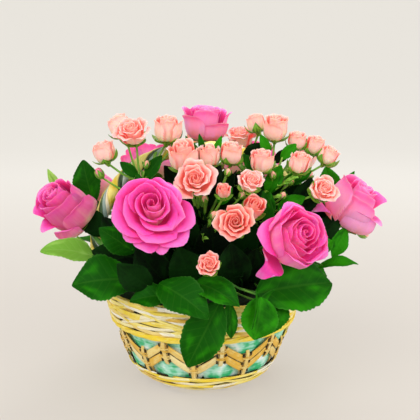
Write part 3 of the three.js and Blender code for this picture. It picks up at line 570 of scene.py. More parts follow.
def petalOf(kind, share, half, height, draw):  # a petal's sizes, read from the rows of its bloom
    rows = ("lipRadius", "lipHeight", "halfAngle", "tip", "curl")
    radius, lip, spread, tip, curl = (float(np.interp(share, shares, blooms[kind][row])) for row in rows)
    radius *= half * draw.uniform(0.92, 1.05)
    lip *= height * draw.uniform(0.95, 1.0)
    return share, radius, lip, spread, tip, curl * draw.uniform(0.7, 1.3)


def petalGrid(kind, petal, turn, half, draw, outline):
    share, radius, lip, spread, tip, curl = petal
    large = 2 * half > petalForm["largeBloom"]
    rows, columns = petalForm["large" if large else "small"]
    u = np.linspace(-1, 1, columns)[None, :]
    v = np.linspace(0, 1, rows)[:, None]
    shoulder = petalForm["shoulder"] + (petalForm["guardShoulder"] - petalForm["shoulder"]) * share
    reach = v * (1 + tip - (shoulder + 2 * tip) * abs(u) ** (3 - 11 * min(tip, 0.16)))
    taper = petalForm["taper"] if kind == "droop" else 0
    side = turn + u * spread * (0.6 + 0.4 * ease(v, 0.0, 0.5)) * (1 - taper * ease(v, 0.35, 1.0))
    if outline is not None:
        follow = float(ease(share, 0.1, 0.75))
        edge, rise = (np.interp(np.degrees(side), outline[0], row, period=360) for row in outline[1:])
        full, top = blooms[kind]["lipRadius"][-1] * half * 1.03, outline[2].mean()
        radius, lip = radius * (1 + follow * (edge / full - 1)), lip * (1 + follow * (rise / top - 1))
    guard = float(ease(share, 0.0, 0.55))
    curves = zip(profileCurves["heart"], profileCurves[kind])
    out, up = (np.interp(reach, profileReach, a * (1 - guard) + b * guard) for a, b in curves)
    soft = ease(reach, 0.5, 1.0)
    roll = curl * abs(u) ** 1.7
    out = radius * out + 0.07 * roll * half * share * soft
    up = lip * up - 0.14 * roll * half * ease(reach, 0.68, 1.02)
    up = up + draw.uniform(-0.08, 0.08) * u * half * share * soft
    wave = draw.uniform(0, 6.3)
    ruffle = petalForm["ruffle" if half > 20 else "smallRuffle"] * half * soft
    swirl = np.interp(share, shares, spiral) * draw.uniform(0.5, 1.8)
    out = out * (1 + swirl * u) + ruffle * np.sin(u * 7 + wave) * (0.3 + share)
    up = up + ruffle * np.cos(u * 9 + wave * 2)
    return stack(out * np.cos(side), out * np.sin(side), up), reach, (u + 1) / 2


def bloomFrame(at, facing, width, kind):
    axis = Vector(facing).normalized()
    height = width * blooms[kind]["tall"]
    base = Vector(at) - axis * height / 2
    turn = Vector((0, 0, 1)).rotation_difference(axis).to_matrix()
    return np.array(axis), np.array(base), np.array(turn), height


def addBloom(shape, at, facing, width, kind, finish, name):
    draw = random.Random(name)
    base, turn, height = bloomFrame(at, facing, width, kind)[1:]
    half, count = width / 2, blooms[kind]["petals"]
    outline = outlineOf(outlines[name]) if name in outlines else None
    angle = draw.uniform(0, 6.3)
    petals = []
    for i in range(count):
        share = (i / (count - 1)) ** 0.9
        angle += math.radians(137.5 if share < 0.5 else 144) + draw.uniform(-0.25, 0.25)
        if share < guardShare.get(name, 2):
            petals.append((kind, petalOf(kind, share, half, height, draw), angle, outline))
    for degrees, *sizes, profile in guards.get(name, []):
        petals.append((profile, (1.0, *sizes, draw.uniform(0.5, 0.9)), math.radians(degrees), None))
    for profile, petal, angle, edge in petals:
        grid, along, across = petalGrid(profile, petal, angle, half, draw, edge)
        shape.sheet(grid @ turn.T + base, along, across, draw.random(), blooms[kind]["thick"], finish)


# the sepals under a bloom: they reach no further than on a bloom of the largest half width
calyx = {
    "sepals": 5, "columns": 5, "rows": 9, "wide": 0.42, "largest": 9,
    "reach": (0.5, 0.8), "flare": (0.05, 0.22), "thick": 0.6,
}


def addCalyx(shape, at, facing, width, kind, stalk, draw):
    axis, base, turn, height = bloomFrame(at, facing, width, kind)
    half = width / 2
    cup = min(5, 0.18 * half + 1.2)
    heights = np.array([-cup * 1.8, -cup * 1.2, -cup * 0.5, 0.4, 1.2])
    radii = np.array([stalk * 0.9, cup * 0.7, cup * 1.1, cup * 1.3, cup * 0.9])
    shape.tube(base + heights[:, None] * axis, radii, 10, draw.random(), "sprig")
    start = draw.uniform(0, 6.3)
    s = np.linspace(0, 1, calyx["rows"])[:, None]
    a = np.linspace(-1, 1, calyx["columns"])[None, :]
    for i in range(calyx["sepals"]):
        reach = s * draw.uniform(*calyx["reach"]) * min(1, calyx["largest"] / half)
        belly, rise = (np.interp(reach, profileReach, c) for c in profileCurves[kind])
        flare = draw.uniform(*calyx["flare"]) * min(half, calyx["largest"]) * s**2.5
        out = np.maximum(cup, 1.05 * half * belly) + 0.9 + flare
        up = 0.8 * height * rise - 1.2 - 0.3 * flare
        wide = (calyx["wide"] * half + 0.8) * (1 - s**2.2) * (0.75 + 0.5 * np.sin(math.pi * s)) + 0.15
        side = start + i / calyx["sepals"] * fullTurn + np.clip(a * wide / out, -0.6, 0.6)
        grid = stack(out * np.cos(side), out * np.sin(side), up) @ turn.T + base
        shape.sheet(grid, s, (a + 1) / 2, draw.random(), calyx["thick"], "sprig")


# the width above which a leaf is large, then shares of its own sizes
leafForm = {
    "largeFrom": 14, "fold": 0.28, "saw": 0.09, "twist": 0.12,
    "large": {"rows": 34, "columns": 9, "teeth": 15, "thick": 0.9},
    "small": {"rows": 18, "columns": 5, "teeth": 8, "thick": 0.6},
}


def leafAxes(start, end, face):
    spine = np.subtract(end, start, dtype=float)
    side = unit(np.cross(face, spine))
    return spine, side, unit(np.cross(spine, side))


def leafRib(start, end, face, arch, s):
    spine, _, upper = leafAxes(start, end, face)
    rise = arch * np.linalg.norm(spine) * 4
    return start + spine * s + upper * (rise * s * (1 - s))


def addLeaf(shape, start, end, width, face, arch, finish, draw):
    spine, side, upper = leafAxes(start, end, face)
    length = np.linalg.norm(spine)
    form = leafForm["large" if width > leafForm["largeFrom"] else "small"]
    s = np.linspace(0.004, 0.996, form["rows"])[:, None]
    a = np.linspace(-1, 1, form["columns"])[None, :]
    half = width / 2 * np.clip(np.sin(math.pi * s**0.85), 0.012, 1) ** 0.8
    teeth = 1 + leafForm["saw"] * ((s * form["teeth"]) % 1.0 - 1 / 3) * (abs(a) > 0.95)
    phase = (s - abs(a) * leafVeins["lean"]) * leafVeins["pairs"] + 0.5
    veins = abs(phase % 1 - 0.5) * 2  # 0 on each side vein, 1 between two
    wave = draw.uniform(0, 6.3)
    lift = leafForm["fold"] * half * abs(a) ** 1.2 + arch * length * 4 * s * (1 - s)
    lift = lift + 0.05 * width * np.sin(s * 11 + wave + a * 1.5) * abs(a) ** 2
    lift = lift + 0.008 * width * np.sqrt(veins) * np.sin(math.pi * abs(a))
    across = a * half * teeth
    lift = lift + draw.uniform(-leafForm["twist"], leafForm["twist"]) * across * s
    forward = s * length + 0.05 * length * abs(a) * np.sin(math.pi * s)
    grid = start + unit(spine) * forward[..., None] + side * across[..., None] + upper * lift[..., None]
    shape.sheet(grid, s, (a + 1) / 2, draw.random(), form["thick"], finish)


foamTop = 97
stemForm = {"foot": (56.0, 78.0), "straight": 11.0, "swell": 0.07}


# from the foam straight up, then over to the end; or smoothly past one point
def stemPath(root, end, direction, via=None):
    top, above = np.array([*root, foamTop + 2.0]), np.array([*root, foamTop + stemForm["straight"]])
    end, direction = np.array(end, float), np.array(direction, float)
    if via is not None:
        return smoothPath([top, above, via, end - direction * 8, end], 24)
    rise = np.linalg.norm(end - above) * 0.4
    a, b, c, d = above, above + [0, 0, rise], end - direction * rise, end
    t = np.linspace(0, 1, 22)[:, None]
    return np.vstack([top, (1 - t) ** 3 * a + 3 * (1 - t) ** 2 * t * b + 3 * (1 - t) * t**2 * c + t**3 * d])


def addStem(shape, path, radius, finish, draw):
    foot = [[*path[0][:2], height] for height in stemForm["foot"]]
    whole = np.vstack([foot, path])
    radii = radius * (1 + stemForm["swell"] * np.sin(np.arange(len(whole)) * 1.7))
    shape.tube(whole, radii, 9, draw.random(), finish)


def addTwig(shape, path, end, radius, finish, draw):
    cost = np.linalg.norm(path - end, axis=1) + np.maximum(0, 12 - (end[2] - path[:, 2]))
    start = path[max(1, int(cost.argmin()))]
    middle = (start + end) / 2 - [0, 0, 0.06 * np.linalg.norm(end - start)]
    shape.tube(smoothPath([start, middle, end], 8), radius, 7, draw.random(), finish)


# leaves with their stalks: a row without a face and an arch takes the usual ones
def addLeaves(shape, path, rows, finish, bark, draw, shaded=()):
    for number, row in enumerate(rows):
        start, end, width, face, arch = (*row, *usualLeaf)[:5]
        # leaves whose numbers are in shaded take the leaf with painted shade
        shown = "paintedShadeLeaf" if number in shaded else finish
        addLeaf(shape, start, end, width, face, arch, shown, draw)
        addTwig(shape, path, leafRib(start, end, face, arch, 0.12), 0.9, bark, draw)


# where the leaflets inside the bunch stand, in one high heap and one low one: middle and reach
heaps = {"high": ((18, 0, 105), (88, 82, 98)), "low": ((0, 0, 102), (98, 94, 30))}
leaflets = {
    "highShare": 0.6, "within": (0.5, 0.95), "farthest": 60, "size": (18, 27), "stalk": 0.8,
    "narrow": 0.6, "spread": 0.95, "sideShare": 0.72, "arch": 0.1,
}


# twigs with a leaf of three leaflets each, which fill the inside of the bunch, drawn with painted shade
def addFiller(shape, path, count, bark, draw):
    inner, outer = leaflets["within"]
    made = 0
    while made < count:
        centre, reach = np.array(heaps["high" if draw.random() < leaflets["highShare"] else "low"])
        spot = centre + reach * [draw.uniform(-1, 1), draw.uniform(-1, 1), draw.uniform(0, 1)]
        outward = (spot - centre) / reach
        near = np.linalg.norm(path - spot, axis=1)
        if not inner < np.linalg.norm(outward) < outer or near.min() > leaflets["farthest"]:
            continue
        made += 1
        start = path[near.argmin()]
        way = unit(outward + [draw.uniform(-0.5, 0.5) for i in range(3)])
        size = draw.uniform(*leaflets["size"])
        neck = start + (spot - start) * max(0.0, 1 - size / max(near.min(), 1))
        addTwig(shape, np.array([start, start, start]), neck, leaflets["stalk"], bark, draw)
        face = unit(outward + [draw.uniform(-0.4, 0.4), 0, draw.uniform(0, 0.5)])
        side = unit(np.cross(face, way))
        for turn in (0, leaflets["spread"], -leaflets["spread"]):
            length = size * (leaflets["sideShare"] if turn else 1)
            tip = neck + (way * math.cos(turn) + side * math.sin(turn)) * length
            width = length * leaflets["narrow"]
            addLeaf(shape, neck, tip, width, face, leaflets["arch"], "paintedShadeLeaf", draw)


# twigs from some point of a stem, with their bracts at three points on the way
twigs = {"lengths": (22, 42), "bractsAt": (4, 6, 7), "bracts": (10, 9, 8), "narrow": 0.36}


# thin twigs with narrow bracts, which stand up between the blooms
def addShoots(shape, path, count, draw):
    for _ in range(count):
        start = path[draw.randrange(len(path) // 2, len(path))]
        swing, rise = draw.uniform(0, 6.3), draw.uniform(0.3, 1.0)
        way = unit(np.array([math.cos(swing), math.sin(swing) - 0.4, rise]))
        end = start + way * draw.uniform(*twigs["lengths"])
        twig = smoothPath([start, (start + end) / 2 - [0, 0, 2], end], 8)
        shape.tube(twig, np.linspace(0.9, 0.5, 8), 6, draw.random(), "sprig")
        for spot, size in zip(twigs["bractsAt"], twigs["bracts"]):
            lean = unit(way + [draw.uniform(-0.8, 0.8), draw.uniform(-0.8, 0.3), draw.uniform(-0.3, 0.6)])
            tip = twig[spot] + lean * size
            addLeaf(shape, twig[spot], tip, size * twigs["narrow"], (0, -0.8, 0.5), 0.1, "sprig", draw)


# heights and radii of a closed bud's petals, in shares of its size
budForm = {"heights": (0, 0.2, 0.5, 0.85, 1.15, 1.3), "radii": (0.2, 0.4, 0.46, 0.4, 0.2, 0.04), "thick": 0.5}


# a closed bud: its sepals still round a tip of petal
def addBud(shape, path, draw, at, facing, size, petal="salmon"):
    axis = unit(np.array(facing, float))
    turn = np.array(Vector((0, 0, 1)).rotation_difference(Vector(axis)).to_matrix())
    heights, radii = size * np.array([budForm["heights"], budForm["radii"]])
    base = at - axis * size * 0.6
    shape.tube(base + heights[:, None] * axis, radii, 10, draw.random(), petal)
    addTwig(shape, path, base + axis * 0.5, 0.9, "sprig", draw)
    s = np.linspace(0, 1, calyx["rows"])[:, None]
    a = np.linspace(-1, 1, calyx["columns"])[None, :]
    out = size * (0.2 + 0.32 * np.sin(math.pi * (s * 0.9 + 0.05)) + 0.16 * s**5)
    up = size * (-0.05 + 1.25 * s)
    for i in range(calyx["sepals"]):
        side = i / calyx["sepals"] * fullTurn + a * 0.68 * (1 - s**2.2)
        grid = stack(out * np.cos(side), out * np.sin(side), up) @ turn.T + base
        shape.sheet(grid, s, (a + 1) / 2, draw.random(), budForm["thick"], "sprig")


# leaves of each rose stem: base of the blade, tip, width, the way its upper face looks, and its arch
usualLeaf = ((0, -0.95, 0.3), 0.08)  # the face and the arch of a row that doesn't say
leaves = {
    "front_left": [
        ((-58, -70, 110), (-110, -80, 108), 42, (-0.1, -0.75, 0.65), 0.1),
        ((-57, -66, 134), (-87, -72, 156), 22, (-0.3, -0.8, 0.4), 0.1),
        ((-43, -84, 108), (-69, -100, 132), 24, (-0.3, -0.8, 0.3), 0.05),
        ((-24, -86, 101), (-60, -93, 98), 24, (0, -0.6, 0.8), 0.08),
        ((-32, -64, 106), (-55, -80, 142), 30, (-0.2, -0.9, 0.4), 0.1),
    ],
    "front_right": [
        ((44, -84, 102), (112, -64, 106), 46, (0.1, -0.85, 0.5), 0.1),
        ((86, -52, 121), (117, -34, 136), 20, (0.2, -0.5, 0.8), 0.1),
        ((59, -56, 150), (52, -58, 186), 11, (0, -1, 0.1), 0.06),
        ((42, -58, 104), (46, -70, 138), 26, (0.1, -0.9, 0.4), 0.08),
        ((38, -46, 122), (34, -50, 168), 28, (-0.1, -0.9, 0.3), 0.08),
        ((66, -52, 106), (88, -76, 96), 26, (0.3, -0.5, 0.8), 0.12),
    ],
    "left": [
        ((-72, -18, 106), (-110, -30, 100), 28, (-0.4, 0, 0.9), 0.14),
        ((-93, -40, 121), (-142, -52, 131), 24, (0.1, -0.6, 0.8), 0.12),
        ((-96, -28, 114), (-112, -34, 141), 16, (-0.5, -0.8, 0.2), 0.08),
        ((-134, 17, 171), (-147, 15, 195), 9, (-0.2, -0.9, 0.2), 0.05),
    ],
    "right": [
        ((80, -16, 108), (114, -24, 100), 26, (0.4, 0, 0.9), 0.14),
        ((103, -40, 113), (141, -32, 114), 14, (0, -0.4, 0.9), 0.1),
        ((129, -24, 146), (117, -30, 120), 16, (0.2, -0.9, 0.2), 0.06),
        ((122, 20, 160), (117, 20, 197), 24, (0.1, -0.9, 0.2), 0.06),
        ((131, 24, 170), (145, 22, 192), 8, (0, -0.9, 0.3), 0.05),
    ],
    "top": [
        ((-8, 6, 160), (-36, 0, 200), 24, (0, -0.9, 0.3), 0.1),
        ((12, 4, 150), (20, -4, 196), 26, (0, -0.9, 0.3), 0.08),
        ((-2, 4, 112), (-8, -8, 162), 32, (0, -0.9, 0.3), 0.08),
    ],
    "back_left": [
        ((-40, 36, 116), (-76, 42, 152), 32, (-0.5, 0.6, 0.6), 0.08),
        ((-58, 66, 112), (-98, 92, 104), 30, (-0.3, 0.4, 0.85), 0.12),
        ((-40, 78, 128), (-66, 108, 138), 22, (-0.2, 0.5, 0.8), 0.1),
        ((-70, 60, 132), (-106, 84, 136), 24, (-0.2, 0.3, 0.9), 0.12),
    ],
    "back_right": [
        ((44, 46, 112), (82, 62, 126), 34, (0.3, 0.5, 0.8), 0.1),
        ((36, 40, 128), (66, 40, 164), 30, (0.6, 0.6, 0.5), 0.08),
        ((60, 66, 112), (96, 96, 104), 30, (0.3, 0.4, 0.85), 0.12),
        ((84, 40, 116), (130, 52, 112), 28, (0.2, 0.1, 0.95), 0.12),
        ((66, 52, 140), (104, 74, 152), 22, (0.2, 0.3, 0.9), 0.1),
    ],
    "back_low": [
        ((-24, 64, 104), (-59, 70, 103), 30, (-0.1, 0.5, 0.9), 0.08),
        ((6, 64, 108), (38, 92, 122), 32, (0.2, 0.6, 0.8), 0.1),
        ((-10, 90, 104), (-22, 120, 72), 28, (-0.1, 0.85, 0.5), 0.12),
        ((22, 88, 106), (40, 122, 88), 26, (0.2, 0.8, 0.6), 0.14),
        ((-36, 84, 104), (-60, 112, 84), 24, (-0.3, 0.75, 0.6), 0.12),
        ((-20, 54, 124), (-34, 54, 170), 28, (-0.2, 0.9, 0.3), 0.06),
    ],
    "back_side": [
        ((-64, 26, 106), (-98, 54, 98), 34, (-0.4, 0.4, 0.8), 0.12),
        ((-104, 16, 162), (-114, 20, 203), 27, (-0.2, -0.9, 0.2), 0.06),
        ((-98, 20, 136), (-109, 20, 162), 18, (-0.3, -0.9, 0.3), 0.06),
        ((-90, 26, 114), (-132, 30, 120), 24, (-0.1, 0, 1), 0.12),
    ],
}
lightLeaves = {"left"}  # the young leaf at the far left is pale green

# numbers of the leaves that hang inside the bunch, drawn with painted shade
shadedLeaves = {
    "rose_front_left": {2, 4}, "rose_front_right": {3, 4}, "rose_top": {0, 1, 2}, "spray_middle": {0, 1},
    "spray_right": {0, 1}, "front": {0, 1},
}

# leaves between the blooms, drawn with painted shade
paintedShadeLeaves = {
    "rose_left": [((-88, -20, 138), (-112, -16, 162), 22)],
    "rose_right": [
        ((100, -14, 140), (110, -12, 168), 22, (0.1, -0.95, 0.2), 0.08),
        ((96, -24, 132), (126, -22, 158), 20, (0.1, -0.95, 0.2), 0.08),
    ],
    "rose_front_left": [
        ((-68, -30, 124), (-90, -30, 158), 20),
        ((-58, -40, 116), (-98, -46, 130), 26, (-0.1, -0.9, 0.4), 0.08),
        ((-44, -50, 112), (-84, -60, 116), 22, (-0.1, -0.8, 0.6), 0.08),
    ],
    "spray_right": [
        ((36, -12, 206), (57, -12, 221), 15), ((64, -12, 204), (80, -12, 216), 10),
        ((66, -22, 164), (96, -24, 184), 22, (0.1, -0.95, 0.3), 0.08),
    ],
    "spray_middle": [((-4, -34, 172), (-26, -36, 190), 16), ((2, -40, 176), (16, -44, 206), 15)],
}

# young green leaves between the blooms and over the rim at the sides
youngLeaves = {
    "rose_right": [
        ((72, 2, 108), (104, 8, 98), 30, (0.4, 0, 0.9), 0.14),
        ((70, 22, 110), (101, 38, 98), 28, (0.4, 0.3, 0.9), 0.14),
        ((64, 34, 108), (86, 60, 101), 26, (0.4, 0.4, 0.8), 0.12),
        ((60, 12, 106), (86, 20, 108), 24, (0.3, 0.2, 0.9), 0.12),
    ],
    "rose_left": [
        ((-72, -8, 108), (-103, -14, 98), 28, (-0.4, 0, 0.9), 0.14),
        ((-70, 10, 108), (-100, 20, 98), 26, (-0.4, 0.1, 0.9), 0.14),
        ((-58, -12, 106), (-84, -34, 106), 24, (-0.3, -0.2, 0.9), 0.12),
    ],
    "rose_front_left": [((-66, -36, 132), (-79, -38, 166), 12, (0, -0.95, 0.3), 0.06)],
    "spray_middle": [
        ((-4, -30, 206), (-15, -28, 230), 7), ((2, -30, 208), (-3, -28, 232), 6),
        ((8, -30, 206), (17, -28, 230), 7), ((-2, -32, 200), (-8, -30, 224), 9),
        ((-14, -34, 168), (-34, -34, 178), 14), ((14, -50, 172), (26, -54, 188), 10),
    ],
    "spray_right": [
        ((57, -30, 178), (70, -30, 204), 15), ((72, -24, 186), (98, -24, 198), 12, (0.1, -0.95, 0.3), 0.08),
        ((66, -40, 166), (90, -44, 178), 14, (0.1, -0.95, 0.3), 0.08),
        ((54, -50, 158), (58, -56, 184), 14, (0.1, -0.95, 0.3), 0.08), ((48, -30, 196), (36, -30, 214), 10),
        ((70, -20, 208), (84, -20, 222), 10), ((60, -14, 210), (52, -14, 230), 9),
    ],
    "spray_left": [((-52, -22, 190), (-36, -22, 212), 12), ((-58, -22, 192), (-74, -22, 206), 10)],
}

# the leafy stem that falls over the front of the rim
frontFoliage = {
    "root": (10, -52), "tip": (14, -72, 116), "direction": (0, -0.6, 0.6),
    "leaves": [
        ((-8, -66, 104), (-20, -78, 142), 30, (-0.1, -0.9, 0.4), 0.08),
        ((28, -66, 104), (24, -76, 144), 30, (0.05, -0.9, 0.4), 0.08),
        ((-36, -88, 112), (6, -121, 93), 32, (-0.1, -0.7, 0.7), 0.12),
        ((-8, -88, 112), (30, -120, 102), 26, (0.1, -0.65, 0.75), 0.12),
        ((15, -104, 102), (-12, -113, 49), 34, (-0.1, -0.98, 0.1), 0.06),
        ((22, -103, 101), (24, -107, 71), 12, (0.1, -0.98, 0.1), 0.04),
        ((49, -95, 103), (43, -105, 69), 32, (0.2, -0.95, 0.2), 0.06),
        ((44, -100, 111), (40, -110, 79), 6, (0.9, -0.4, 0), 0.06),
        ((64, -80, 105), (48, -97, 70), 30, (0.3, -0.92, 0.2), 0.06),
    ],
}

# sprays: where the stem leaves the foam, where it forks, its leaves, and the blooms on its twigs
sprays = {
    "left": {
        "root": (-38, -4), "fork": (-56, -22, 188),
        "leaves": [((-46, -20, 150), (-58, -24, 196), 24, (-0.2, -0.95, 0.2), 0.08)],
        "blooms": {
            "left_back": ((-76, 4, 237), (-0.4, 0.2, 0.9), 22, "bud"),
            "left_tall": ((-62, -25, 232), (-0.2, -0.6, 0.75), 32, "spray"),
            "left_side": ((-88, -25, 216), (-0.3, -0.1, 0.95), 20, "bud"),
            "left_high": ((-32, -18, 236), (0.05, -0.2, 0.98), 25, "bud"),
        },
    },
    "middle": {
        "root": (-2, -30), "fork": (0, -40, 150),
        "leaves": [
            ((-10, -46, 128), (-22, -50, 176), 28, (-0.2, -0.9, 0.3), 0.08),
            ((10, -48, 118), (8, -58, 160), 32, (0, -0.9, 0.4), 0.08),
        ],
        "blooms": {
            "middle_left": ((-17, -43, 215), (-0.1, -0.45, 0.88), 27, "bud"),
            "middle": ((6, -36, 214), (0, -0.3, 0.95), 20, "bud"),
            "middle_right": ((26, -32, 216), (0.1, -0.3, 0.95), 20, "bud"),
            "front_open": ((-6, -62, 195), (0, -0.9, 0.43), 38, "spray"),
            "front_small": ((18, -74, 188), (0.05, -0.6, 0.8), 12, "bud"),
            "front_round": ((27, -99, 166), (-0.06, -0.94, 0.33), 34, "spray"),
            "front_behind": ((43, -72, 174), (0.25, -0.7, 0.65), 19, "bud"),
            "front_low": ((6, -112, 134), (0, -0.8, 0.6), 21, "spray"),
        },
    },
    "right": {
        "root": (38, -6), "fork": (60, -26, 184),
        "leaves": [
            ((66, -26, 150), (60, -24, 196), 26, (0, -0.95, 0.2), 0.08),
            ((82, -34, 156), (96, -34, 194), 24, (0.2, -0.95, 0.2), 0.08),
        ],
        "blooms": {
            "right_front": ((41, -62, 193), (0.25, -0.65, 0.7), 26, "spray"),
            "right_banded": ((52, -35, 209), (0.05, -0.25, 0.97), 21, "bud"),
            "right_high": ((66, -5, 236), (0, -0.3, 0.95), 24, "bud"),
            "right_tall": ((87, 0, 224), (0.1, -0.15, 0.98), 17, "bud"),
            "right_upper": ((103, -5, 220), (0.2, -0.15, 0.96), 18, "bud"),
            "right_edge": ((115, -12, 211), (0.5, -0.2, 0.84), 18, "bud"),
            "right_inner": ((85, -40, 208), (0.2, -0.3, 0.93), 19, "bud"),
            "right_open": ((102, -56, 186), (0.35, -0.78, 0.52), 28, "spray"),
        },
    },
    "high": {
        "root": (22, 14), "fork": (38, 22, 192),
        "leaves": [((36, 26, 150), (54, 30, 190), 24, (0.2, 0.6, 0.7), 0.08)],
        "blooms": {
            "high_flat": ((35, 26, 223), (-0.05, -0.3, 0.95), 33, "spray"),
            "high_pale": ((50, 16, 239), (-0.2, 0, 0.97), 18, "bud"),
            "back_side": ((92, 50, 186), (0.7, 0.45, 0.55), 30, "spray"),
            "back_edge": ((98, 24, 206), (0.6, 0.3, 0.75), 22, "bud"),
        },
    },
    "back": {
        "root": (10, 38), "fork": (10, 56, 160),
        "leaves": [((22, 60, 134), (34, 78, 184), 30, (0.2, 0.9, 0.3), 0.08)],
        "blooms": {
            "back_left": ((-50, 92, 168), (-0.4, 0.8, 0.45), 30, "spray"),
            "back_high": ((-4, 72, 214), (-0.05, 0.6, 0.8), 32, "spray"),
            "back_right": ((48, 98, 170), (0.35, 0.82, 0.45), 34, "spray"),
        },
    },
}

# leaves of three leaflets on each stem, and shoots with bracts
filling = {"rose": 14, "spray": 30}
shoots = {"spray_left": 4, "spray_middle": 12, "spray_right": 14, "spray_high": 5, "spray_back": 6}

# closed buds of each stem: middle, the way it faces and size, and its petal where it isn't salmon
buds = {
    "spray_left": [
        ((-95, -5, 193), (-0.5, -0.1, 0.85), 8, "hotPink"), ((-28, -10, 221), (-0.2, -0.2, 0.95), 7),
        ((-50, -24, 204), (0.2, -0.4, 0.9), 6),
    ],
    "spray_middle": [
        ((2, -56, 178), (-0.2, -0.6, 0.75), 6), ((34, -60, 182), (0.3, -0.6, 0.75), 6),
        ((-12, -50, 196), (-0.4, -0.4, 0.8), 6), ((22, -48, 200), (0.2, -0.5, 0.85), 6),
        ((10, -66, 166), (0.1, -0.7, 0.7), 7),
    ],
    "spray_right": [
        ((96, -20, 193), (0.5, -0.4, 0.75), 7), ((78, -34, 190), (0.3, -0.5, 0.8), 6),
        ((62, -36, 196), (-0.1, -0.5, 0.85), 6), ((70, -48, 180), (0.2, -0.7, 0.7), 6),
        ((86, -18, 204), (0.1, -0.3, 0.9), 6),
    ],
    "spray_high": [((24, 20, 214), (-0.3, -0.3, 0.9), 6), ((62, 10, 216), (0.4, -0.2, 0.9), 6)],
    "rose_right": [((148, -12, 138), (0.9, -0.1, -0.3), 8)],
    "spray_back": [((20, 84, 190), (0.2, 0.6, 0.8), 7), ((-24, 86, 184), (-0.3, 0.6, 0.7), 6)],
}


def makePetals(name, bloom, dye, node):
    petals = Shape()
    addBloom(petals, *bloom, petalDyes.get(name, dye), name)
    petals.build("petals_" + name, [node + name])


# a stem's own leaves, the ones inside the bunch with painted shade, and the young ones
def addFoliage(shape, path, family, name, rows, finish, bark, draw):
    stem = family + "_" + name
    addLeaves(shape, path, rows, finish, bark, draw, shadedLeaves.get(stem, ()))
    addLeaves(shape, path, paintedShadeLeaves.get(stem, []), "paintedShadeLeaf", bark, draw)
    addLeaves(shape, path, youngLeaves.get(stem, []), "leaf", bark, random.Random("young " + name))


# the fine growth between the blooms: leaflets, shoots and closed buds
def addGrowth(shape, path, family, name, bark, draw):
    stem = family + "_" + name
    addFiller(shape, path, filling[family], bark, draw)
    addShoots(shape, path, shoots.get(stem, 0), draw)
    for bud in buds.get(stem, []):
        addBud(shape, path, draw, *bud)


stalks = {"rose": 2.2, "front": 1.6, "spray": 1.6, "twig": 1.0}  # radius of each kind of stem


def makeRoses():
    for name, (*bloom, root, via) in roses.items():
        makePetals(name, bloom, "hotPink", "rose_")
        draw = random.Random("stem " + name)
        axis, base = bloomFrame(*bloom)[:2]
        path = stemPath(root, base - axis * 5, axis, via)
        finish = "lightLeaf" if name in lightLeaves else "leaf"
        greens = Shape()
        addStem(greens, path, stalks["rose"], "stem", draw)
        addCalyx(greens, *bloom, stalks["rose"], draw)
        addFoliage(greens, path, "rose", name, leaves[name], finish, "stem", draw)
        addGrowth(greens, path, "rose", name, "stem", draw)
        greens.build("greens_" + name, ["stem_rose_" + name])


def makeSprays():
    for name, spray in sprays.items():
        draw = random.Random("spray " + name)
        path = stemPath(spray["root"], spray["fork"], (0, 0, 1))
        greens = Shape()
        addStem(greens, path, stalks["spray"], "sprig", draw)
        addFoliage(greens, path, "spray", name, spray["leaves"], "leaf", "sprig", draw)
        for bloomName, bloom in spray["blooms"].items():
            axis, base = bloomFrame(*bloom)[:2]
            addTwig(greens, path, base - axis * 2.5, stalks["twig"], "sprig", draw)
            addCalyx(greens, *bloom, stalks["twig"], draw)
            makePetals(bloomName, bloom, "salmon", "spray_rose_")
        addGrowth(greens, path, "spray", name, "sprig", draw)
        greens.build("greens_spray_" + name, ["spray_stem_" + name])


def makeFrontFoliage():
    draw = random.Random("front foliage")
    path = stemPath(frontFoliage["root"], frontFoliage["tip"], frontFoliage["direction"])
    greens = Shape()
    addStem(greens, path, stalks["front"], "stem", draw)
    addLeaves(greens, path, frontFoliage["leaves"], "leaf", "stem", draw, shadedLeaves["front"])
    greens.build("greens_front", ["leafy_stem_front"])


# the basket's wall, and the stakes that stand in it
wall = {"heights": (0, 3, 10, 20, 42, 62, 91), "radii": (43, 52, 63, 70, 78, 85.5, 93.5)}
stakes = {"count": 20, "first": 12, "low": 17, "high": 88, "offset": -3.2, "width": 5, "thick": 1.6}
stakeStep = fullTurn / stakes["count"]


def stakeAngle(k):  # also for places between two stakes
    return math.radians(stakes["first"]) + k * stakeStep


def placed(angle, radius, height):  # angles go round from the front to the right
    return stack(radius * np.sin(angle), -radius * np.cos(angle), height)


def wallRadius(height):
    return np.interp(height, wall["heights"], wall["radii"])


def onWall(angle, height, offset):
    return placed(angle, wallRadius(height) + offset, height)


def alongWall(angle):
    return np.array([math.cos(angle), math.sin(angle), 0])


# a flat splint along the wall: angles and heights of its middle, and how far it stands off the wall
def addSplint(shape, angles, heights, offset, width, thick, tone, finish, wet=0.5):
    path = onWall(angles, heights, offset)
    up = onWall(angles, heights + 1, offset) - path
    place = np.arange(len(path))
    taper = np.clip(np.minimum(place, place[::-1]) / 2 + 0.55, 0, 1)
    shape.sweep(path, up, width / 2 * taper, thick / 2, tone, finish, wet)


def pick(dyes, draw):  # one of the dyes, as often as its share says
    return draw.choices(list(dyes), list(dyes.values()))[0]


# a stroke spans so many stakes, and its slope is how far one of its ends may stand above the other
weaves = {
    "foot": {
        "low": 0.3, "high": 20.8, "rows": 5, "span": 2.3, "width": 3.7, "thick": 1.1, "bulge": 2.5,
        "slope": 4.2, "dyes": {"yellow": 4, "bright": 3, "cream": 4, "golden": 1},
    },
    "border": {
        "low": 62.6, "high": 91.5, "rows": 6, "span": 2.6, "width": 4.7, "thick": 1.2, "bulge": 2.6,
        "slope": 8.4, "dyes": {"yellow": 4, "bright": 3, "golden": 2, "cream": 4},
    },
}
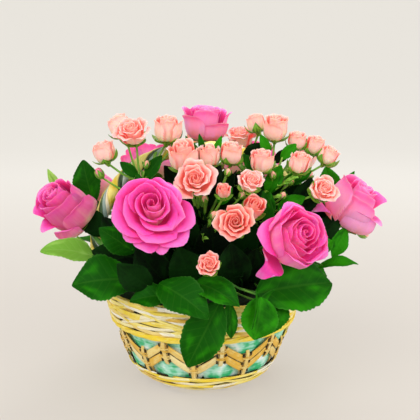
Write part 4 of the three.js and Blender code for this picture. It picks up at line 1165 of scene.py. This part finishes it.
# dark splints of painted shade that close the view through the slits: offset, width, thickness, tone and
# finish
paintedShadeBackings = {"weave": (-1.3, 8, 0.6, 0.4, "shade"), "openwork": (-6.9, 41, 0.7, 0.4, "shade")}
paintedShadeBackingsApart = 7


# rows of strokes that each come out from behind one stake and go in behind another, over a dark wall of
# painted shade
def addWeave(shape, weave, draw):
    low, high, width = weave["low"], weave["high"], weave["width"]
    # painted shade: dark splints behind the rows, seen through the slits
    for height in np.linspace(low + 3, high - 3, round((high - low) / paintedShadeBackingsApart)):
        addSplint(shape, np.linspace(0, fullTurn, 81), height, *paintedShadeBackings["weave"])
    s = np.linspace(0, 1, 15)
    for row in range(weave["rows"]):
        middle = low + width / 2 + (high - low - width) * row / (weave["rows"] - 1)
        for k in range(stakes["count"]):
            start = stakeAngle(k + 0.5 * (row % 2) + draw.uniform(-0.25, 0.25))
            lean = weave["slope"] * (1 if (k + row) % 2 else -1) * draw.uniform(0.2, 1.2)
            heights = middle + draw.uniform(-0.8, 0.8) + lean * (s - 0.5)
            heights = np.clip(heights, low + width * 0.4, high - width * 0.4)
            out = -1.2 + (weave["bulge"] + draw.uniform(-0.4, 0.5)) * np.sin(math.pi * s) ** 0.6
            finish = pick(weave["dyes"], draw)
            wide = width * draw.uniform(0.65, 1.1)
            angles = start + s * weave["span"] * stakeStep
            addSplint(shape, angles, heights, out, wide, weave["thick"], draw.random(), finish)


floorDisc = [(0.4, 0.0), (36, 0.0), (41, 0.2), (48, 2.6), (47, 3.0), (0.4, 3.0)]  # radii and heights


def turned(profile, sides):  # rows of points round the basket's axis
    radii, heights = np.array(profile).T
    return placed(np.linspace(0, fullTurn, sides + 1)[:-1, None], radii, heights)


def makeFootAndStakes():
    draw = random.Random("foot")
    foot = Shape()
    addWeave(foot, weaves["foot"], draw)
    for angle in stakeAngle(np.arange(stakes["count"])):
        path = onWall(angle, np.linspace(stakes["low"], stakes["high"], 16), stakes["offset"])
        foot.sweep(path, alongWall(angle), stakes["width"] / 2, stakes["thick"] / 2, draw.random(), "wheat")
    foot.ring(turned(floorDisc, 60), "wheat")
    foot.build("foot_and_stakes", ["basket_foot_and_stakes"])


crossing = {
    "high": 87, "low": 65, "span": 2.8, "width": 3.2, "thick": 1.0, "dyes": ("bright", "yellow", "cream"),
}


# long strips that cross the rows of the border, down one way and up the other
def addCrossings(shape, draw):
    s = np.linspace(0, 1, 17)
    out = -0.6 + 2.6 * np.sin(math.pi * s) ** 0.5
    for k in range(stakes["count"]):
        start, end = (crossing["high"], crossing["low"])[:: 1 if k % 2 else -1]
        angles = stakeAngle(k + draw.uniform(-0.3, 0.3) + s * crossing["span"])
        heights = start + (end - start) * s + draw.uniform(-1, 1)
        finish = draw.choice(crossing["dyes"])
        wide = crossing["width"] * draw.uniform(0.7, 1.1)
        addSplint(shape, angles, heights, out, wide, crossing["thick"], draw.random(), finish)


# the places are offsets and heights
rimStrips = {"places": ((0.6, 90.6), (-0.9, 91.2)), "width": 2.4, "thick": 1.5, "wave": 0.4}
band = {
    "height": 60.2, "rise": 1.2, "offset": 1.4, "depth": 0.9, "twists": 10, "width": 4.0, "thick": 1.8,
    "dyes": ("bright", "yellow", "bright"),
}


def makeBorderAndBand():
    draw = random.Random("border")
    border = Shape()
    addWeave(border, weaves["border"], draw)
    turns = np.linspace(0, fullTurn, 121)
    for offset, height in rimStrips["places"]:
        heights = height + rimStrips["wave"] * np.sin(turns * 9 + offset)
        addSplint(border, turns, heights, offset, rimStrips["width"], rimStrips["thick"], 0.5, "bright")
    addCrossings(border, draw)
    border.build("upper_border", ["basket_upper_border"])
    rope = Shape()
    for number, dye in enumerate(band["dyes"]):
        swing = turns * band["twists"] + number * fullTurn / len(band["dyes"])
        heights = band["height"] + band["rise"] * np.sin(swing)
        offset = band["offset"] + band["depth"] * np.cos(swing)
        addSplint(rope, turns, heights, offset, band["width"], band["thick"], draw.random(), dye)
    rope.build("band", ["basket_band"])


# heights that a loop runs between, places of its bindings and of the painted shade patches beside it, as
# shares of its length
loop = {
    "peak": (33.5, 58.5), "valley": (46.5, 19), "halfWide": 1.9, "halfThick": 0.6, "offset": 1.5, "tuck": 2.4,
    "bindings": (0.3, 0.62), "paintedShadePatches": (0.16, 0.46, 0.78),
}


# a stake's loop over both strips, with its binding and, on either side of it, dark patches of painted shade
# that look like gaps
def addLoop(strips, angle, near, far, draw):
    across = alongWall(angle)
    path = onWall(angle, np.linspace(near, far, 14), loop["offset"])
    path = path - unit(path * [1, 1, 0]) * (loop["tuck"] * np.linspace(-1, 1, 14) ** 6)[:, None]
    strips.sweep(path, across, loop["halfWide"], loop["halfThick"], draw.random(), "wheat")
    s = np.linspace(-1, 1, 9)
    for share in loop["bindings"]:
        middle = near + (far - near) * share + draw.uniform(-0.6, 0.6)
        for lean in (-0.5, 0.5):
            heights = middle + lean * (1.6 + s * draw.uniform(0.6, 1.6))
            addSplint(strips, angle + s * 0.05, heights, 2.3 - 1.8 * s**2, 1.3, 0.7, draw.random(), "golden")
    s = np.linspace(-1, 1, 7)
    # painted shade: dark patches on either side of the loop, where holes would lie in shade
    for side in (-1, 1):
        for share in loop["paintedShadePatches"]:
            middle = near + (far - near) * share + draw.uniform(-0.8, 0.8)
            lean = draw.uniform(-0.25, 0.25)
            paintedShadePatch = onWall(angle + side * (0.047 + 0.006 * lean * s), middle + s * draw.uniform(1.4, 2.2), 1.1)
            wide = draw.uniform(0.7, 1.1) * (1 - 0.8 * s**2)
            strips.sweep(paintedShadePatch, across, wide, 0.35, 0.5, "shade")


zigzag = {
    "middle": 40, "swing": 8.4, "spacing": 9.0, "width": 7.0, "thick": 1.1, "bow": 0.7,
    "dyes": {"golden": 5, "wheat": 4, "yellow": 1},
}


def makeZigzags():
    draw = random.Random("zigzag")
    s = np.linspace(-0.04, 1.04, 14)
    between = np.sin(math.pi * np.clip(s, 0, 1))  # 0 at the stakes, 1 halfway
    width, thick = zigzag["width"], zigzag["thick"]
    for side, name in ((1, "upper"), (-1, "lower")):
        strips = Shape()
        middle = zigzag["middle"] + side * zigzag["spacing"] / 2
        for k in range(stakes["count"]):
            way = -1 if k % 2 else 1  # up from a valley, or down from a peak
            bow = zigzag["bow"] * between * draw.uniform(-1, 1)
            heights = middle + zigzag["swing"] * (1 - 2 * s) * way + bow
            finish = pick(zigzag["dyes"], draw)
            out = -1.2 + 1.6 * between**0.6
            addSplint(strips, stakeAngle(k + s), heights, out, width, thick, draw.random(), finish)
        first, ends = (0, loop["peak"]) if name == "upper" else (1, loop["valley"])
        for k in range(first, stakes["count"], 2):
            addLoop(strips, stakeAngle(k), *ends, draw)
        strips.build("zigzag_" + name, ["basket_zigzag_" + name])


# strips: low and high edge, and 1 where it comes forward at the peaks, -1 where it does at the valleys
ribbon = {"strips": ((43, 59, -1), (18.5, 36, 1)), "offset": -2.6, "swell": 1.5, "thick": 0.6, "middle": 41}


def makeRibbons():
    draw = random.Random("ribbon")
    ribbons = Shape()
    turns = np.linspace(0, fullTurn, 241)
    phase = (turns - stakeAngle(0)) * stakes["count"] / 2  # 0 at a peak, pi at a valley
    for low, high, front in ribbon["strips"]:
        swell = front * np.cos(phase)
        middle, offset = (low + high) / 2, ribbon["offset"] + ribbon["swell"] * swell
        wet = 0.5 + 0.5 * swell
        addSplint(ribbons, turns, middle, offset, high - low, ribbon["thick"], draw.random(), "shaving", wet)
    # painted shade: a dark sheet behind the ribbons and the openwork
    addSplint(ribbons, turns, ribbon["middle"], *paintedShadeBackings["openwork"])
    ribbons.build("ribbon_lining", ["basket_ribbon_lining"])


# radii and heights, from the middle of the underside to the middle of the top
foamProfile = [
    (0.5, 3.4), (38, 3.4), (60, 22), (68, 42), (81, 86), (79, 91), (60, 96.5), (30, foamTop), (0.5, foamTop),
]
foamDents = -0.006  # the deepest, as a share of a point's distance from the middle


def makeFoam():
    block = Shape()
    draw = random.Random("foam")
    points = turned(foamProfile, 48)
    dents = [[draw.uniform(foamDents, 0) for point in row] for row in points]
    block.ring(points * (1 + np.array(dents)[..., None]), "foam")
    block.build("foam_block", ["flower_foam"], 40)


hoop = {
    "radius": 100, "dip": 5.5, "height": 121, "core": 4.4, "turns": 5.2, "reach": 5.3, "past": 0.17,
    "legWidth": 8, "legThick": 2.6, "legLow": 63.5, "legHigh": 93, "legInside": 4,
}
strands = [  # dye and width of each strand of the wrapping
    ("bright", 8.5), ("teal", 4.5), ("darkGreen", 3.4), ("bright", 8.0), ("cream", 3.0), ("teal", 3.6),
    ("darkGreen", 3.0),
]


def hoopPoint(angle, off=0, around=0):  # on the hoop's middle line, or off it to one side
    out = hoop["radius"] - hoop["dip"] * np.cos(angle) ** 8 + off * np.cos(around)
    return stack(out * np.sin(angle), off * np.sin(around), hoop["height"] + out * np.cos(angle))


def makeHandle():
    draw = random.Random("handle")
    end = math.pi / 2 + hoop["past"]
    angles = np.linspace(-end, end, 150)
    centre = hoopPoint(angles)
    wrapping = Shape()
    # the core, under the strands, in the near-black finish: painted shade between them
    wrapping.tube(centre, hoop["core"], 12, 0.3, "shade")
    whole = sum(wide for _, wide in strands)
    before = 0
    for k, (dye, wide) in enumerate(strands):
        start = (before + wide / 2) / whole
        before += wide
        around = fullTurn * (start + (angles + end) / (2 * end) * hoop["turns"])
        around = around + 0.12 * np.sin(angles * 9 + k)
        path = hoopPoint(angles, hoop["reach"], around)
        side = np.cross(unit(path - centre), unit(np.gradient(centre, axis=0)))
        halfWide = wide / 2 * (1.08 + 0.25 * np.sin(angles * 17 + k * 2.1))
        wrapping.sweep(path, side, halfWide, 0.9, draw.random(), dye)
    wrapping.build("handle_strands", ["handle_wrapping"])
    legs = Shape()
    heights = np.linspace(hoop["legLow"], hoop["legHigh"], 12)
    turn = np.linspace(end, math.pi / 2 - 0.05, 8)
    for side in (-1, 1):
        foot = stack(side * (wallRadius(heights) - hoop["legInside"]), 0, heights)
        arch = hoop["radius"] * stack(side * np.sin(turn), 0, np.cos(turn)) + [0, 0, hoop["height"]]
        path = np.vstack([foot, arch])
        legs.sweep(path, (0, 1, 0), hoop["legWidth"] / 2, hoop["legThick"] / 2, draw.random(), "wheat")
    legs.build("handle_legs", ["handle_hoop"])


makeRoses()
print("roses made")
makeSprays()
makeFrontFoliage()
print("sprays and foliage made")
makeFootAndStakes()
makeBorderAndBand()
makeZigzags()
makeRibbons()
makeFoam()
makeHandle()
print("basket and handle made")

studio = {
    "wall": "898783", "floor": "7c7873", "speck": "8c8780", "glow": 2.3,
    "air": (1, 0.985, 0.96, 1), "sky": 0.66, "aim": (0, 0, 0.15),
    "lamps": {  # place, width and power
        "key": ((-0.6, -1.2, 1.4), 1.6, 21),
        "fill": ((1.3, -1.1, 0.8), 1.2, 11),
        "rim": ((0.3, 0.9, 1.5), 0.9, 11),
    },
}
cove = {"middle": 0.3, "floor": 2.0, "bend": 1.2, "height": 4.5, "sides": 72, "under": 0.0004}


def paperLook():
    look = Look("studio paper", Emission_Strength=studio["glow"])
    place = look.place()
    grain = look.noise(place, 30)
    depth = look.node("ShaderNodeVectorMath", {"operation": "LENGTH"}, {0: place}, "Value")
    paper = look.mix(look.between(depth, 0.1, 1.6), colour(studio["floor"]), colour(studio["wall"]))
    look.plug(look.shader.inputs["Emission Color"], paper)  # lit from behind, which keeps the shadow soft
    return look.paint(look.mix(grain * 0.03, paper, colour(studio["speck"])), 0.9)


def makeBackdrop():
    sides, bend = cove["sides"], cove["bend"]
    rows = [(cove["middle"], 0.0), (cove["floor"], 0.0)]
    for t in np.linspace(0.1, math.pi / 2, 12):
        rows.append((cove["floor"] + bend * math.sin(t), bend * (1 - math.cos(t))))
    rows.append((cove["floor"] + bend, cove["height"]))
    turns = [i / sides * fullTurn for i in range(sides)]
    points = [(r * math.cos(a), r * math.sin(a), z - cove["under"]) for r, z in rows for a in turns]
    faces = [list(range(sides))]
    for row in range(0, (len(rows) - 1) * sides, sides):
        for i in range(sides):
            j = (i + 1) % sides
            faces.append((row + i, row + sides + i, row + sides + j, row + j))
    mesh = bpy.data.meshes.new("backdrop")
    mesh.from_pydata(points, [], faces)
    mesh.polygons.foreach_set("use_smooth", [True] * len(faces))
    mesh.materials.append(paperLook())
    stand("backdrop", mesh)


def makeLights():
    for name, (spot, size, power) in studio["lamps"].items():
        data = bpy.data.lights.new(name, "AREA")
        data.shape, data.size, data.energy = "DISK", size, power
        lamp = stand(name, data)
        lamp.location = spot
        lamp.rotation_mode = "QUATERNION"
        lamp.rotation_quaternion = (Vector(studio["aim"]) - Vector(spot)).to_track_quat("-Z", "Y")
    world = bpy.data.worlds.new("studio")
    world.use_nodes = True
    sky = world.node_tree.nodes["Background"]
    sky.inputs["Color"].default_value = studio["air"]
    sky.inputs["Strength"].default_value = studio["sky"]
    bpy.context.scene.world = world
    bpy.context.scene.view_settings.view_transform = "Standard"


makeBackdrop()
makeLights()
print("studio made")
